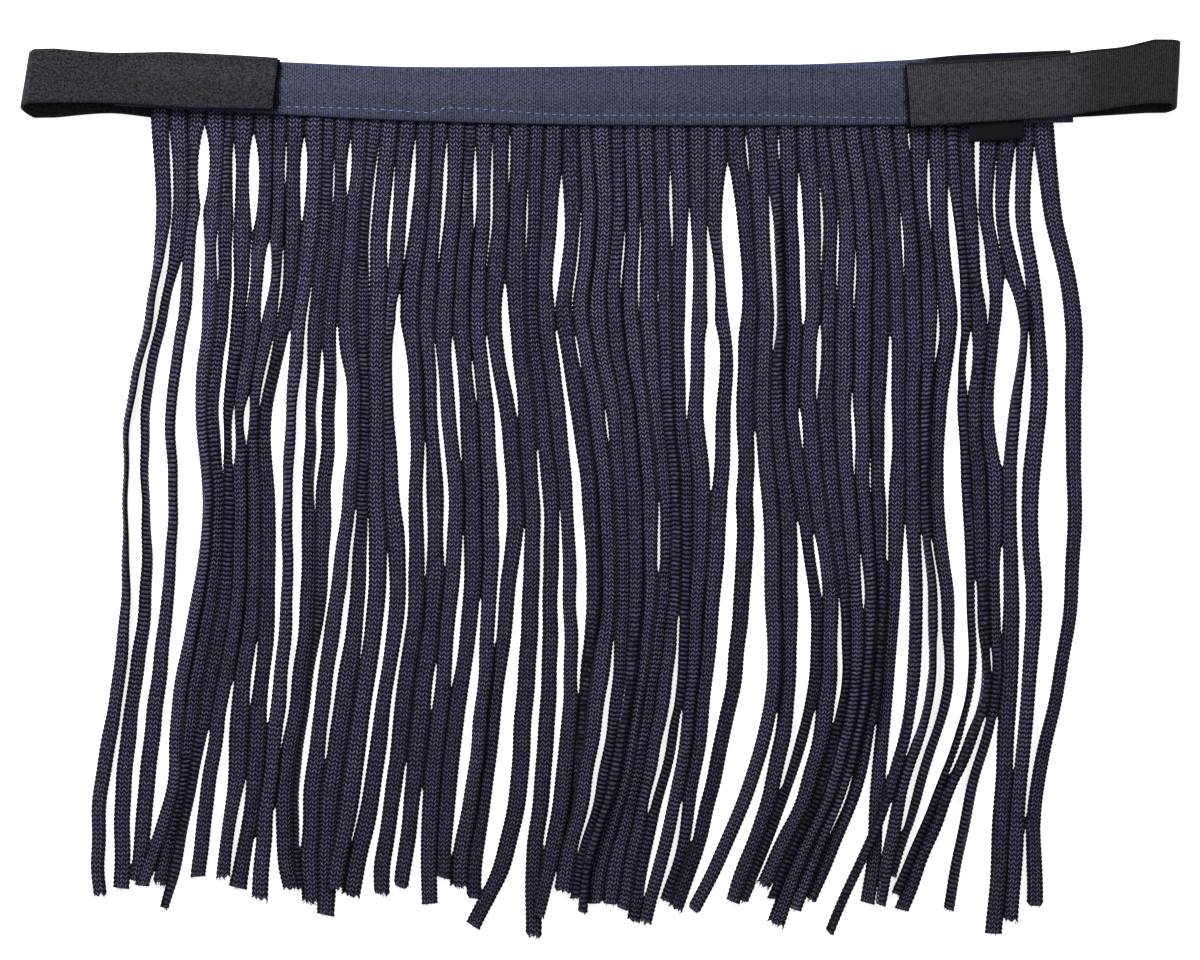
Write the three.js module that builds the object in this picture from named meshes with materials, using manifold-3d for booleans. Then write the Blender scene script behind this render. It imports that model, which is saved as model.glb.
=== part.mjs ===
// A fly fringe for the browband of a bridle, laid out flat on its back.
// Two woven tapes hold the heads of many knitted strands between them, and at each end of the band
// a wide elastic is folded into a loop, with a hook pad under its inner end.
// Millimetres, +Z up; the band runs along X and the strands hang towards -Y.
import * as THREE from "three";
import { mergeVertices } from "three/addons/utils/BufferGeometryUtils.js";
import Module from "manifold-3d";

const wasm = await Module();
wasm.setup();

// Thickness of each layer of the band, from the table up, and the air between layers.
const GAP = 0.3;
const TAPE_THICK = 1;
const HEADER_THICK = 2;
const HOOK_THICK = 1;
const ELASTIC_THICK = 1.2;
const LABEL_THICK = 1;

// Underside of each layer where the elastic doesn't lie beneath the band.
const HEADER_BASE = TAPE_THICK + GAP;
const FRONT_BASE = HEADER_BASE + HEADER_THICK + GAP;
const HOOK_BASE = FRONT_BASE + TAPE_THICK + GAP;
const TAB_BASE = HOOK_BASE + HOOK_THICK + GAP;

// Long pieces are cut at multiples of this distance along the band, so that their layers keep apart.
const STATION = 12;

// Both ends of the band rise over the elastic that comes back beneath them, between these two stations.
const END_LIFT = ELASTIC_THICK + GAP;
const LIFT_FROM = 11 * STATION;
const LIFT_TO = 15 * STATION;

// The header strip holds the strands along the lower part of the band. Above it the front tape comes
// down onto the back tape.
const HEADER_IN = 1;
const HEADER_OUT = 8;
const BEND = 9.5;
const FALL = HEADER_THICK + GAP;

// Each elastic levels out between these two places and opens into a loop past the band's end.
const LOOP_FROM = 192;
const LOOP_TO = 206;
const FOLD_STEPS = 8;

// The outline of each long piece: rows along the band with its lower and upper edge.
const FRONT_TAPE = [
  { x: -203, lower: 157.6, upper: 178.4 },
  { x: -137, lower: 154.2, upper: 175.6 },
  { x: -84, lower: 151.5, upper: 173.5 },
  { x: -17, lower: 149.3, upper: 173.5 },
  { x: 56, lower: 148.8, upper: 174.3 },
  { x: 128, lower: 148.7, upper: 174.6 },
  { x: 198, lower: 149.6, upper: 175.6 },
];
const BACK_TAPE = [
  { x: -200, lower: 158.8, upper: 177.6 },
  { x: -84, lower: 152.5, upper: 172.9 },
  { x: 0, lower: 150.3, upper: 172.9 },
  { x: 75, lower: 149.9, upper: 174.3 },
  { x: 128, lower: 149.8, upper: 176.4 },
  { x: 152, lower: 150, upper: 178.5 },
  { x: 197.4, lower: 150.6, upper: 180.4 },
];

// Each elastic, from its inner end out along the upper layer and, past the fold, back underneath.
// slant is how much further right the upper edge lies than the lower one.
const ELASTICS = {
  left: {
    over: [
      { x: -135.9, lower: 155, upper: 176.9, slant: 2.1 },
      { x: -153, lower: 155.2, upper: 178, slant: 0 },
      { x: -170, lower: 155.4, upper: 178.8, slant: 0 },
      { x: -180, lower: 155.9, upper: 179.2, slant: 0 },
      { x: -192, lower: 156.8, upper: 179, slant: 0 },
      { x: -206, lower: 157.6, upper: 178.7, slant: 0 },
      { x: -229, lower: 157.8, upper: 180.4, slant: 2 },
    ],
    fold: { x: -241, lower: 155.6, upper: 178.6, slant: 3.8 },
    under: [
      { x: -229, lower: 152, upper: 174.6, slant: 2 },
      { x: -206, lower: 153.9, upper: 176.2, slant: 0 },
      { x: -187, lower: 152, upper: 174.4, slant: 0 },
    ],
  },
  right: {
    over: [
      { x: 129.4, lower: 147.8, upper: 174.7, slant: -1.7 },
      { x: 153, lower: 149.2, upper: 178.1, slant: 0 },
      { x: 170, lower: 150.2, upper: 178.8, slant: 0 },
      { x: 180, lower: 150.9, upper: 179.2, slant: 0 },
      { x: 192, lower: 151.7, upper: 179.6, slant: 0 },
      { x: 206, lower: 154, upper: 180.3, slant: 0 },
      { x: 218, lower: 156, upper: 181.1, slant: 0.8 },
      { x: 231, lower: 157.6, upper: 184.2, slant: 1.2 },
    ],
    fold: { x: 242.4, lower: 155.6, upper: 183.4, slant: 1.6 },
    under: [
      { x: 231, lower: 154.1, upper: 180, slant: 1.2 },
      { x: 206, lower: 152.6, upper: 178.2, slant: 0 },
      { x: 187, lower: 151.7, upper: 177.2, slant: 0 },
    ],
  },
};

// A hook pad starts just short of the elastic's inner end and is a little narrower than it.
const HOOK_SHOWS = 1.4;
const HOOK_LENGTH = 26;
const HOOK_INSET = 0.6;

// The label's left and right edge, its free edge, where it leaves the band and how far it goes in.
const LABEL = { left: 154.6, right: 177.2, free: 141.4, leaves: 148, inside: 155.6, tilt: 1.3, drop: 1.8 };

// A strand is a flat knitted tube: a bar whose upper edges are cut back by its shoulder. Where less than
// its width shows from above it has rolled onto an edge, and part of the loss is the knit drawing in.
const STRAND_WIDTH = 7.2;
const STRAND_THICK = 1.8;
const SHOULDER = 1.1;
const STRAND_GAP = 0.45;
const GAP_PASSES = 4;
const GAP_REACH = 3;
const ROLLED_SHARE = 0.6;
const ROLL_FROM = 12;
const ROLL_TO = 50;

// Drops are measured down from this level, which is the band's lower edge near the middle.
const DROP_LEVEL = 150;
const RING = 20;
const TIP_RING = 10;
const TIP_RINGS_FROM = 300;
const TIP_CLEAR = 5;

// A strand leaves the header at this height and reaches the table over this distance.
const ROOT_BASE = HEADER_BASE + 0.2;
const ROOT_THICK = 1.6;
const ROOT_INSIDE = 4;
const SINK_PART = 20;
const SINK_ALL = 40;
const SUNK_SHARE = 0.33;

// Where the tip of one strand lies over the strand beside it, counted from the left, and from what drop.
const LAPS = [
  { over: 4, under: 3, from: 300 },
  { over: 15, under: 14, from: 300 },
  { over: 25, under: 24, from: 300 },
  { over: 27, under: 26, from: 260 },
  { over: 46, under: 45, from: 300 },
];
const LAP_GAP = 0.35;

// The strands from left to right. The first ten columns are the middle of the strand at each drop below
// and at its tip, then comes its length, then its width from above at the drops below and at its tip.
const PLACE_DROPS = [0, 40, 80, 120, 160, 200, 240, 280, 310];
const WIDTH_DROPS = [0, 80, 160, 240];
const STRANDS = [
  [-184.5, -183.5, -188.5, -197.5, -199, -199, -202.5, -209.5, -210.5, -210, 323.5, 7, 4, 1.5, 6.5, 5.5],
  [-176.5, -176, -183.5, -190.5, -190.5, -190.5, -196, -200, -200.5, -200.5, 321, 7, 3.5, 2.5, 6, 6],
  [-169.5, -170.5, -174.5, -180, -179, -181.5, -186, -190.5, -193, -194.5, 317.5, 6, 5, 4, 6.5, 6.5],
  [-161, -163.5, -164, -167.5, -164.5, -169, -176.5, -179, -188.5, -191.5, 319, 7, 5.5, 4, 5.5, 6],
  [-155.5, -157, -158.5, -162.5, -160, -163.5, -170.5, -175, -183, -185, 319.5, 3, 5, 4.5, 6, 5.5],
  [-149.5, -149.5, -151.5, -155.5, -155.5, -157.5, -164.5, -172, -177.5, -182.5, 330.5, 7, 5, 3.5, 5.5, 2.5],
  [-141, -141.5, -145.5, -151, -151, -152, -158.5, -164.5, -168, -168.5, 316, 7, 6, 5.5, 6, 6],
  [-134.5, -135.5, -138, -145, -145.5, -146, -150.5, -153.5, -157.5, -158.5, 317, 5, 5, 5.5, 7.5, 5],
  [-127.5, -129, -131.5, -140.5, -139.5, -139.5, -142.5, -145, -150, -151.5, 320, 6.5, 5, 5.5, 6.5, 6],
  [-120, -121, -126, -129, -131, -131, -134.5, -139, -142, -143, 326.5, 7, 6, 4.5, 6.5, 6.5],
  [-113.5, -115, -119, -121, -122.5, -123, -126.5, -132.5, -131.5, -129.5, 321.5, 4, 5.5, 5, 7, 6.5],
  [-107.5, -109.5, -113, -114, -116, -117, -122, -127.5, -127, -126.5, 321, 6, 5, 6, 2, 2],
  [-100.5, -103.5, -106.5, -102.5, -105.5, -110.5, -116.5, -120.5, -122.5, -122, 327, 6.5, 7.5, 5.5, 7.5, 6],
  [-94, -98.5, -99.5, -99, -100, -102, -107, -113, -114, -114.5, 332.5, 4.5, 4.5, 4, 8, 6.5],
  [-88, -92.5, -93.5, -93.5, -94, -93.5, -99, -104.5, -110, -111.5, 322, 6.5, 7, 6.5, 7.5, 6.5],
  [-80.5, -84, -87.5, -88.5, -86.5, -85, -90.5, -95.5, -101.5, -105, 325.5, 7, 4, 7, 6.5, 7],
  [-73.5, -75.5, -80, -77, -77.5, -77, -82, -86.5, -91, -91.5, 324, 6.5, 7.5, 6.5, 7, 6.5],
  [-67, -69.5, -72.5, -71, -69, -70, -74.5, -78.5, -82, -83.5, 320.5, 5.5, 6.5, 7, 8, 6],
  [-60, -62, -65.5, -64, -60.5, -63, -66.5, -71, -72, -71.5, 327.5, 6.5, 7, 6.5, 6.5, 6],
  [-54.5, -56, -58.5, -55.5, -53.5, -54, -59, -63.5, -65.5, -65.5, 316, 4, 6.5, 7.5, 6.5, 5.5],
  [-48.5, -49, -51.5, -48, -46, -46.5, -49, -53.5, -59, -59.5, 320.5, 6.5, 6, 7, 5.5, 6.5],
  [-41.5, -42, -44.5, -39, -35.5, -39, -43.5, -48, -52, -52.5, 326, 7, 7, 7, 5.5, 5],
  [-33.5, -35, -35, -31.5, -28.5, -29, -31.5, -34.5, -40.5, -53.5, 336.5, 7.5, 7.5, 6.5, 7, 7],
  [-26, -27.5, -28.5, -24.5, -20.5, -20.5, -21.5, -24.5, -27.5, -28, 342, 5, 4.5, 7, 6.5, 6.5],
  [-19.5, -21, -22.5, -18, -14, -13, -12.5, -16, -21, -26, 334, 6.5, 7, 6, 6, 6.5],
  [-12.5, -12, -15, -9, -4.5, -3, -7, -9, -14, -16, 316, 6, 7, 6.5, 3.5, 6.5],
  [-6.5, -4.5, -8, -1.5, 2.5, 3.5, -1, -7, -13.5, -16, 322, 4.5, 6, 7, 7, 7.5],
  [0.5, 2, -1, 5.5, 8.5, 9.5, 7, 0, -8, -10, 325.5, 7.5, 7, 5, 5, 4],
  [7.5, 8, 6, 11.5, 14.5, 15, 11.5, 4.5, -5.5, -7.5, 332.5, 5, 5.5, 6.5, 3.5, 3.5],
  [12.5, 13.5, 12.5, 17.5, 21, 20.5, 16, 9, -0.5, -2, 328, 5, 7, 7, 5, 6],
  [19, 20.5, 20.5, 23.5, 27.5, 26.5, 21, 14.5, 7.5, 4, 328.5, 6.5, 7, 5.5, 5, 6.5],
  [25.5, 26.5, 27.5, 28.5, 32, 31, 26.5, 19, 13, 10, 329, 5.5, 5, 3.5, 6, 4.5],
  [33, 34, 33, 33.5, 36, 35.5, 33.5, 25.5, 18, 14.5, 335, 7.5, 5.5, 5, 3.5, 5],
  [41, 41.5, 42, 40.5, 42.5, 40.5, 38, 32.5, 25.5, 18.5, 336.5, 7.5, 6.5, 7.5, 4.5, 5.5],
  [49, 48.5, 51.5, 52, 50, 47, 43.5, 38.5, 33, 27.5, 327, 7, 6, 7, 6, 4.5],
  [57, 60.5, 62.5, 61, 61, 59.5, 55, 46.5, 39, 31.5, 330.5, 7, 7.5, 7, 6, 6],
  [64.5, 67.5, 69.5, 68, 71.5, 72.5, 72.5, 62, 49.5, 39, 330.5, 7.5, 6.5, 6.5, 5.5, 5.5],
  [71.5, 74.5, 75.5, 74.5, 78.5, 79.5, 78.5, 72, 61.5, 55.5, 327.5, 5.5, 2.5, 7, 6.5, 5.5],
  [78.5, 79, 81, 80, 85, 90.5, 89, 78, 67, 60, 327.5, 7, 7.5, 6, 5, 3.5],
  [86, 89, 89, 87.5, 91.5, 96.5, 95.5, 87, 73, 68.5, 319.5, 7, 6, 7, 7, 6],
  [92.5, 96.5, 96, 95, 98, 102.5, 102, 92.5, 78.5, 72, 325.5, 5, 6.5, 6.5, 3.5, 4],
  [98.5, 103.5, 102.5, 102, 104.5, 107.5, 106.5, 96.5, 83, 74, 336, 6.5, 7, 6, 4.5, 6],
  [105, 110, 110.5, 110, 110.5, 113.5, 110.5, 101, 88.5, 82.5, 329.5, 6.5, 6.5, 6, 4, 4.5],
  [111, 116.5, 118, 116.5, 117, 117.5, 115, 107, 95, 88.5, 325.5, 4.5, 7, 5.5, 4.5, 5],
  [118, 123, 125, 125.5, 124.5, 123.5, 120, 116.5, 115, 112.5, 327, 7.5, 6, 7, 5.5, 6],
  [125.5, 129.5, 131.5, 131, 131.5, 132, 131, 121.5, 109, 96, 339.5, 5.5, 7, 6, 5, 4],
  [133.5, 135, 138.5, 136, 136, 139.5, 138.5, 126.5, 121, 118.5, 329, 7.5, 6, 3, 3.5, 6],
  [141.5, 142, 146, 142, 141, 145.5, 145, 133.5, 125, 122.5, 317, 7, 7.5, 6.5, 4.5, 4],
  [147.5, 150.5, 153.5, 152, 154, 155.5, 155, 142, 129, 124, 323.5, 4, 4.5, 4, 3, 4],
  [153.5, 155.5, 159, 157, 159, 160.5, 161.5, 146.5, 134.5, 127, 330, 6.5, 6, 5, 4, 5],
  [163, 162, 166, 163, 166, 165, 165.5, 156, 149.5, 146.5, 330, 7.5, 6, 6.5, 4.5, 4.5],
  [171, 169, 177.5, 173.5, 172, 172.5, 171.5, 169, 167.5, 165, 339.5, 7, 4, 5.5, 7, 6],
  [178, 177.5, 183, 184, 180, 182, 179.5, 176, 174, 172, 335.5, 5.5, 6, 7, 5, 6],
  [186, 190.5, 198.5, 198.5, 199, 197.5, 191.5, 183, 182, 182.5, 328, 7.5, 7, 6, 5.5, 6.5],
];

const { clamp, lerp, smoothstep } = THREE.MathUtils;

// A closed surface from quads and triangles, turned so that its faces point outwards.
function closed(points, faces) {
  let volume = 0;
  for (let i = 0; i < faces.length; i += 3) {
    const [a, b, c] = [points[faces[i]], points[faces[i + 1]], points[faces[i + 2]]];
    volume += a.dot(new THREE.Vector3().crossVectors(b, c));
  }
  const geometry = new THREE.BufferGeometry().setFromPoints(points);
  geometry.setIndex(volume < 0 ? [...faces].reverse() : faces);
  geometry.computeVertexNormals();
  return geometry;
}

// Quads between neighbouring loops of points, and a fan over the first and the last loop.
function loft(loops) {
  const sides = loops[0].length;
  const faces = [];
  for (let ring = 0; ring + 1 < loops.length; ring++) {
    for (let side = 0; side < sides; side++) {
      const next = (side + 1) % sides;
      const [a, b] = [ring * sides + side, ring * sides + next];
      faces.push(a, b, b + sides, a, b + sides, a + sides);
    }
  }
  const last = (loops.length - 1) * sides;
  for (let side = 1; side + 1 < sides; side++) {
    faces.push(0, side + 1, side);
    faces.push(last, last + side, last + side + 1);
  }
  return closed(loops.flat(), faces);
}

// The value of one column of an outline at a place between its rows.
function read(rows, column, x) {
  const after = clamp(rows.findIndex((row) => row.x >= x), 1, rows.length - 1);
  const end = rows.at(-1).x < x ? rows.length - 1 : after;
  const [a, b] = [rows[end - 1], rows[end]];
  return lerp(a[column], b[column], clamp((x - a.x) / (b.x - a.x), 0, 1));
}

const liftAt = (x) => END_LIFT * clamp((Math.abs(x) - LIFT_FROM) / (LIFT_TO - LIFT_FROM), 0, 1);

// How far the layers on the front tape have come down, between its bend and its upper edge.
function fallAt(x, y) {
  const bend = read(FRONT_TAPE, "lower", x) + BEND;
  return FALL * clamp((y - bend) / (read(FRONT_TAPE, "upper", x) - bend), 0, 1);
}

// The stations between two places along the band, and those two places.
function stations(from, to) {
  const places = [from];
  for (let i = Math.floor(from / STATION) + 1; i * STATION < to; i++) {
    places.push(i * STATION);
  }
  return [...places, to];
}

// One cut across a cloth piece: a loop of three points along its inner face and three along its outer.
// The middle pair lies on the front tape's bend.
function section({ x, lower, upper, slant = 0, base, thick, normal = [0, 1], falls = 0 }) {
  const bend = clamp(read(FRONT_TAPE, "lower", x) + BEND, lower + 1, upper - 1);
  const point = (y, out) => {
    const across = (y - (lower + upper) / 2) / (upper - lower);
    const z = base - falls * fallAt(x, y);
    return new THREE.Vector3(x + slant * across + normal[0] * out, y, z + normal[1] * out);
  };
  const ys = [lower, bend, upper];
  return [...ys.map((y) => point(y, 0)), ...ys.reverse().map((y) => point(y, thick))];
}

function backTape() {
  const places = stations(BACK_TAPE[0].x, BACK_TAPE.at(-1).x);
  return loft(places.map((x) => section({
    x,
    lower: read(BACK_TAPE, "lower", x),
    upper: read(BACK_TAPE, "upper", x),
    base: liftAt(x),
    thick: TAPE_THICK,
  })));
}

function frontTape() {
  const places = stations(FRONT_TAPE[0].x, FRONT_TAPE.at(-1).x);
  return loft(places.map((x) => section({
    x,
    lower: read(FRONT_TAPE, "lower", x),
    upper: read(FRONT_TAPE, "upper", x),
    base: FRONT_BASE + liftAt(x),
    thick: TAPE_THICK,
    falls: 1,
  })));
}

// An elastic leaves its inner end on top of the band, runs out past the band's end and folds back under it.
function elastic({ over, fold, under }) {
  const side = Math.sign(fold.x);
  const loopTop = TAB_BASE + END_LIFT + ELASTIC_THICK;
  const radius = loopTop / 2;
  const inner = radius - ELASTIC_THICK;
  const cuts = over.map((row) => section({
    ...row,
    base: TAB_BASE + liftAt(row.x),
    thick: ELASTIC_THICK,
    falls: 1 - clamp((Math.abs(row.x) - LOOP_FROM) / (LOOP_TO - LOOP_FROM), 0, 1),
  }));
  const centre = fold.x - side * radius;
  const first = over.at(-1);
  for (let step = 0; step <= FOLD_STEPS; step++) {
    const angle = Math.PI * (0.5 - step / FOLD_STEPS);
    const share = step / FOLD_STEPS;
    const normal = [side * Math.cos(angle), Math.sin(angle)];
    const along = (column) => (share < 0.5
      ? lerp(first[column], fold[column], share * 2)
      : lerp(fold[column], under[0][column], share * 2 - 1));
    cuts.push(section({
      x: centre + normal[0] * inner,
      lower: along("lower"),
      upper: along("upper"),
      slant: along("slant"),
      base: radius + normal[1] * inner,
      thick: ELASTIC_THICK,
      normal,
    }));
  }
  for (const row of under) {
    cuts.push(section({ ...row, base: ELASTIC_THICK, thick: ELASTIC_THICK, normal: [0, -1] }));
  }
  return loft(cuts);
}

// A hook pad under the inner end of an elastic, whose edge shows a little past it.
function hookPad({ over }) {
  const side = Math.sign(over[0].x);
  const rows = [...over].sort((a, b) => a.x - b.x);
  const inner = over[0].x - side * HOOK_SHOWS;
  const [from, to] = [inner, inner + side * HOOK_LENGTH].sort((a, b) => a - b);
  return loft(stations(from, to).map((x) => section({
    x,
    lower: read(rows, "lower", x) + HOOK_INSET,
    upper: read(rows, "upper", x) - HOOK_INSET,
    slant: x === inner ? over[0].slant : 0,
    base: HOOK_BASE + liftAt(x),
    thick: HOOK_THICK,
    falls: 1,
  })));
}

// The label comes out from between the band and the right elastic and lies down over the strands.
function label() {
  const { left, right, free, leaves, inside, tilt, drop } = LABEL;
  return loft(stations(left, right).map((x) => {
    const rise = tilt * (x - left) / (right - left);
    const base = HOOK_BASE + liftAt(x);
    const rows = [[free, base - drop], [leaves, base], [inside, base]];
    const point = (y, z) => new THREE.Vector3(x, y + rise, z);
    return [
      ...rows.map(([y, z]) => point(y, z)),
      ...rows.reverse().map(([y, z]) => point(y, z + LABEL_THICK)),
    ];
  }));
}

// A smooth line through values at rising drops.
function through(drops, values, drop) {
  const last = drops.length - 1;
  const slope = (i) => {
    const [a, b] = [Math.max(0, i - 1), Math.min(last, i + 1)];
    return (values[b] - values[a]) / (drops[b] - drops[a]);
  };
  if (drop <= 0) {
    return values[0];
  }
  if (drop >= drops[last]) {
    return values[last] + slope(last) * (drop - drops[last]);
  }
  const i = drops.findLastIndex((knot) => knot <= drop);
  const span = drops[i + 1] - drops[i];
  const t = (drop - drops[i]) / span;
  return values[i] * (1 + 2 * t) * (1 - t) ** 2 + values[i + 1] * t * t * (3 - 2 * t)
    + span * t * (1 - t) * (slope(i) * (1 - t) - slope(i + 1) * t);
}

// A line of straight stretches through values at rising drops.
function straight(drops, values, drop) {
  const i = clamp(drops.findLastIndex((knot) => knot <= drop), 0, drops.length - 2);
  return lerp(values[i], values[i + 1], clamp((drop - drops[i]) / (drops[i + 1] - drops[i]), 0, 1));
}

const strands = STRANDS.map((row, index) => {
  const length = row[PLACE_DROPS.length + 1];
  return {
    number: index + 1,
    length,
    placeDrops: [...PLACE_DROPS, length],
    places: row.slice(0, PLACE_DROPS.length + 1),
    widthDrops: [...WIDTH_DROPS, length],
    widths: row.slice(PLACE_DROPS.length + 2),
  };
});

const lapOf = (one, other) => LAPS.find((lap) => lap.over === one.number && lap.under === other.number);

// The left and right edge of every strand at one drop, moved apart where neighbours would meet.
function edgesAt(drop) {
  const edges = strands.map((strand) => {
    const middle = through(strand.placeDrops, strand.places, drop);
    const half = straight(strand.widthDrops, strand.widths, drop) / 2;
    return { left: middle - half, right: middle + half, there: drop < strand.length + RING };
  });
  for (let pass = 0; pass < GAP_PASSES; pass++) {
    for (let reach = 1; reach <= GAP_REACH; reach++) {
      for (let i = 0; i + reach < edges.length; i++) {
        const [a, b] = [edges[i], edges[i + reach]];
        const lap = lapOf(strands[i], strands[i + reach]) ?? lapOf(strands[i + reach], strands[i]);
        const meet = a.right + STRAND_GAP - b.left;
        if (meet > 0 && a.there && b.there && !(lap && drop >= lap.from)) {
          a.right -= meet / 2;
          b.left += meet / 2;
        }
      }
    }
  }
  return edges;
}

const bandEdge = (strand) => read(FRONT_TAPE, "lower", strand.places[0]);

// The height of a strand's underside: out of the header, down to the table, and up where it laps another.
function baseAt(strand, drop) {
  const fromBand = drop - DROP_LEVEL + bandEdge(strand);
  const root = ROOT_BASE + liftAt(strand.places[0]);
  const sunk = straight([0, SINK_PART, SINK_ALL], [root, root * SUNK_SHARE, 0], fromBand);
  const lap = LAPS.find((each) => each.over === strand.number);
  if (!lap) {
    return sunk;
  }
  const rise = clamp((drop - lap.from) / RING + 2, 0, 1);
  return Math.max(sunk, rise * (STRAND_THICK + LAP_GAP));
}

// How much of its narrowing a strand takes by rolling: none at the root or in a lap.
function rollAt(strand, drop) {
  const lap = LAPS.find((each) => each.over === strand.number || each.under === strand.number);
  const flat = lap ? clamp((drop - lap.from) / RING + 3, 0, 1) : 0;
  return ROLLED_SHARE * smoothstep(drop, ROLL_FROM, ROLL_TO) * (1 - flat);
}

// One cut through a strand: it fills the room between its edges, rolled up onto its left edge. With a
// slope, the cut is square to a strand that runs aside by that much for each millimetre of drop.
function strandCut(strand, drop, edges, slope = 0) {
  const room = edges.right - edges.left;
  const width = room + Math.max(0, STRAND_WIDTH - room) * rollAt(strand, drop);
  const thick = drop < 0 ? ROOT_THICK : Math.min(STRAND_THICK, room);
  const inset = Math.min(SHOULDER, width / 4);
  let roll = Math.acos(clamp(room / width, -1, 1));
  if (roll > Math.atan2(inset, thick)) {
    const diagonal = Math.hypot(width - inset, thick);
    roll = Math.atan2(thick, width - inset) + Math.acos(clamp(room / diagonal, -1, 1));
  }
  const [cos, sin] = [Math.cos(roll), Math.sin(roll)];
  const profile = [[0, 0], [width, 0], [width - inset, thick], [inset, thick]];
  const turned = profile.map(([u, v]) => [u * cos - v * sin, u * sin + v * cos]);
  const start = edges.left - Math.min(...turned.map(([u]) => u));
  const base = baseAt(strand, drop);
  const middle = (edges.left + edges.right) / 2;
  return turned.map(([u, v]) => {
    const x = start + u;
    return new THREE.Vector3(x, DROP_LEVEL - drop + slope * (x - middle), base + v);
  });
}

// The drops at which the strands are cut, the same for all of them so that they stay apart in between.
const ringDrops = [];
for (let drop = 0; drop < TIP_RINGS_FROM; drop += RING) {
  ringDrops.push(drop);
}
for (let drop = TIP_RINGS_FROM; drop < Math.max(...strands.map((each) => each.length)); drop += TIP_RING) {
  ringDrops.push(drop);
}
const edgesByDrop = new Map(ringDrops.map((drop) => [drop, edgesAt(drop)]));

function strandSolid(strand) {
  const i = strand.number - 1;
  const rootDrop = DROP_LEVEL - bandEdge(strand) - ROOT_INSIDE;
  const cuts = [strandCut(strand, rootDrop, edgesByDrop.get(0)[i])];
  for (const drop of ringDrops) {
    if (drop > rootDrop + ROOT_INSIDE - HEADER_IN / 2 && drop < strand.length - TIP_CLEAR) {
      cuts.push(strandCut(strand, drop, edgesByDrop.get(drop)[i]));
    }
  }
  const [places, drops] = [strand.places, strand.placeDrops];
  const slope = (places.at(-1) - places.at(-2)) / (drops.at(-1) - drops.at(-2));
  cuts.push(strandCut(strand, strand.length, edgesAt(strand.length)[i], slope));
  return loft(cuts);
}

// The strip inside the band that all the strands are fused into.
function headerStrip() {
  const [first, last] = [edgesByDrop.get(0)[0].left - 1, edgesByDrop.get(0).at(-1).right + 1];
  return loft(stations(first, last).map((x) => section({
    x,
    lower: read(FRONT_TAPE, "lower", x) + HEADER_IN,
    upper: read(FRONT_TAPE, "lower", x) + HEADER_OUT,
    base: HEADER_BASE + liftAt(x),
    thick: HEADER_THICK,
  })));
}

function solidOf(geometry) {
  const bare = geometry.clone();
  bare.deleteAttribute("normal");
  const merged = mergeVertices(bare);
  return new wasm.Manifold(new wasm.Mesh({
    numProp: 3,
    vertProperties: merged.attributes.position.array,
    triVerts: new Uint32Array(merged.index.array),
  }));
}

function geometryOf(solid) {
  const { vertProperties, triVerts } = solid.getMesh();
  const geometry = new THREE.BufferGeometry();
  geometry.setAttribute("position", new THREE.BufferAttribute(vertProperties, 3));
  geometry.setIndex(new THREE.BufferAttribute(triVerts, 1));
  geometry.computeVertexNormals();
  return geometry;
}

function fringe() {
  let joined = solidOf(headerStrip());
  for (const strand of strands) {
    joined = joined.add(solidOf(strandSolid(strand)));
  }
  return geometryOf(joined);
}

const cloth = (color, roughness) => new THREE.MeshStandardMaterial({ color, roughness, metalness: 0 });
const materials = {
  tape: cloth("#30344f", 0.9),
  knit: cloth("#262a3d", 0.95),
  elastic: cloth("#1b1b20", 0.9),
  hook: cloth("#17171b", 0.8),
  label: cloth("#121216", 0.75),
};

const part = new THREE.Group();

function addPiece(name, geometry, material) {
  const mesh = new THREE.Mesh(geometry, material);
  mesh.name = name;
  part.add(mesh);
}

addPiece("band_back", backTape(), materials.tape);
addPiece("band_front", frontTape(), materials.tape);
addPiece("fringe", fringe(), materials.knit);
addPiece("elastic_left", elastic(ELASTICS.left), materials.elastic);
addPiece("elastic_right", elastic(ELASTICS.right), materials.elastic);
addPiece("hook_left", hookPad(ELASTICS.left), materials.hook);
addPiece("hook_right", hookPad(ELASTICS.right), materials.hook);
addPiece("label", label(), materials.label);

// The origin is on the table under the middle of the whole outline.
const middle = new THREE.Box3().setFromObject(part).getCenter(new THREE.Vector3());
part.position.set(-middle.x, -middle.y, 0);

export default part;
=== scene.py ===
"""Builds a fly fringe for a bridle, laid out flat: two woven tapes with knitted strands between them, an
elastic loop with a hook pad at each end, and a small blank label. Lengths in the tables are millimetres.
"""
import bisect
import itertools
import math
import random

import bmesh
import bpy
from mathutils import Euler, Matrix, Vector


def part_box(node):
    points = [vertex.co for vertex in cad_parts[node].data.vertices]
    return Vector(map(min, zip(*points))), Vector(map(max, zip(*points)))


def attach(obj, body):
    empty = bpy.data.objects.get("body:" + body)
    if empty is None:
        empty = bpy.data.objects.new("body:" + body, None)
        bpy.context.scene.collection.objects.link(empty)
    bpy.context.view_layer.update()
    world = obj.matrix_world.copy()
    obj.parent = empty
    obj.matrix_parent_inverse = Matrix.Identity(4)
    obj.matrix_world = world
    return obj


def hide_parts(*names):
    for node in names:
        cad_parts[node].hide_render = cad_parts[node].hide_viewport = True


bl_info = {
    "name": "Fly Fringe",
    "version": (1, 0, 0),
    "blender": (4, 5, 0),
    "location": "View3D > Sidebar > Fly Fringe",
    "description": "A fringe of knitted strands on a woven band with elastic loops",
    "category": "Add Mesh",
}

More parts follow.
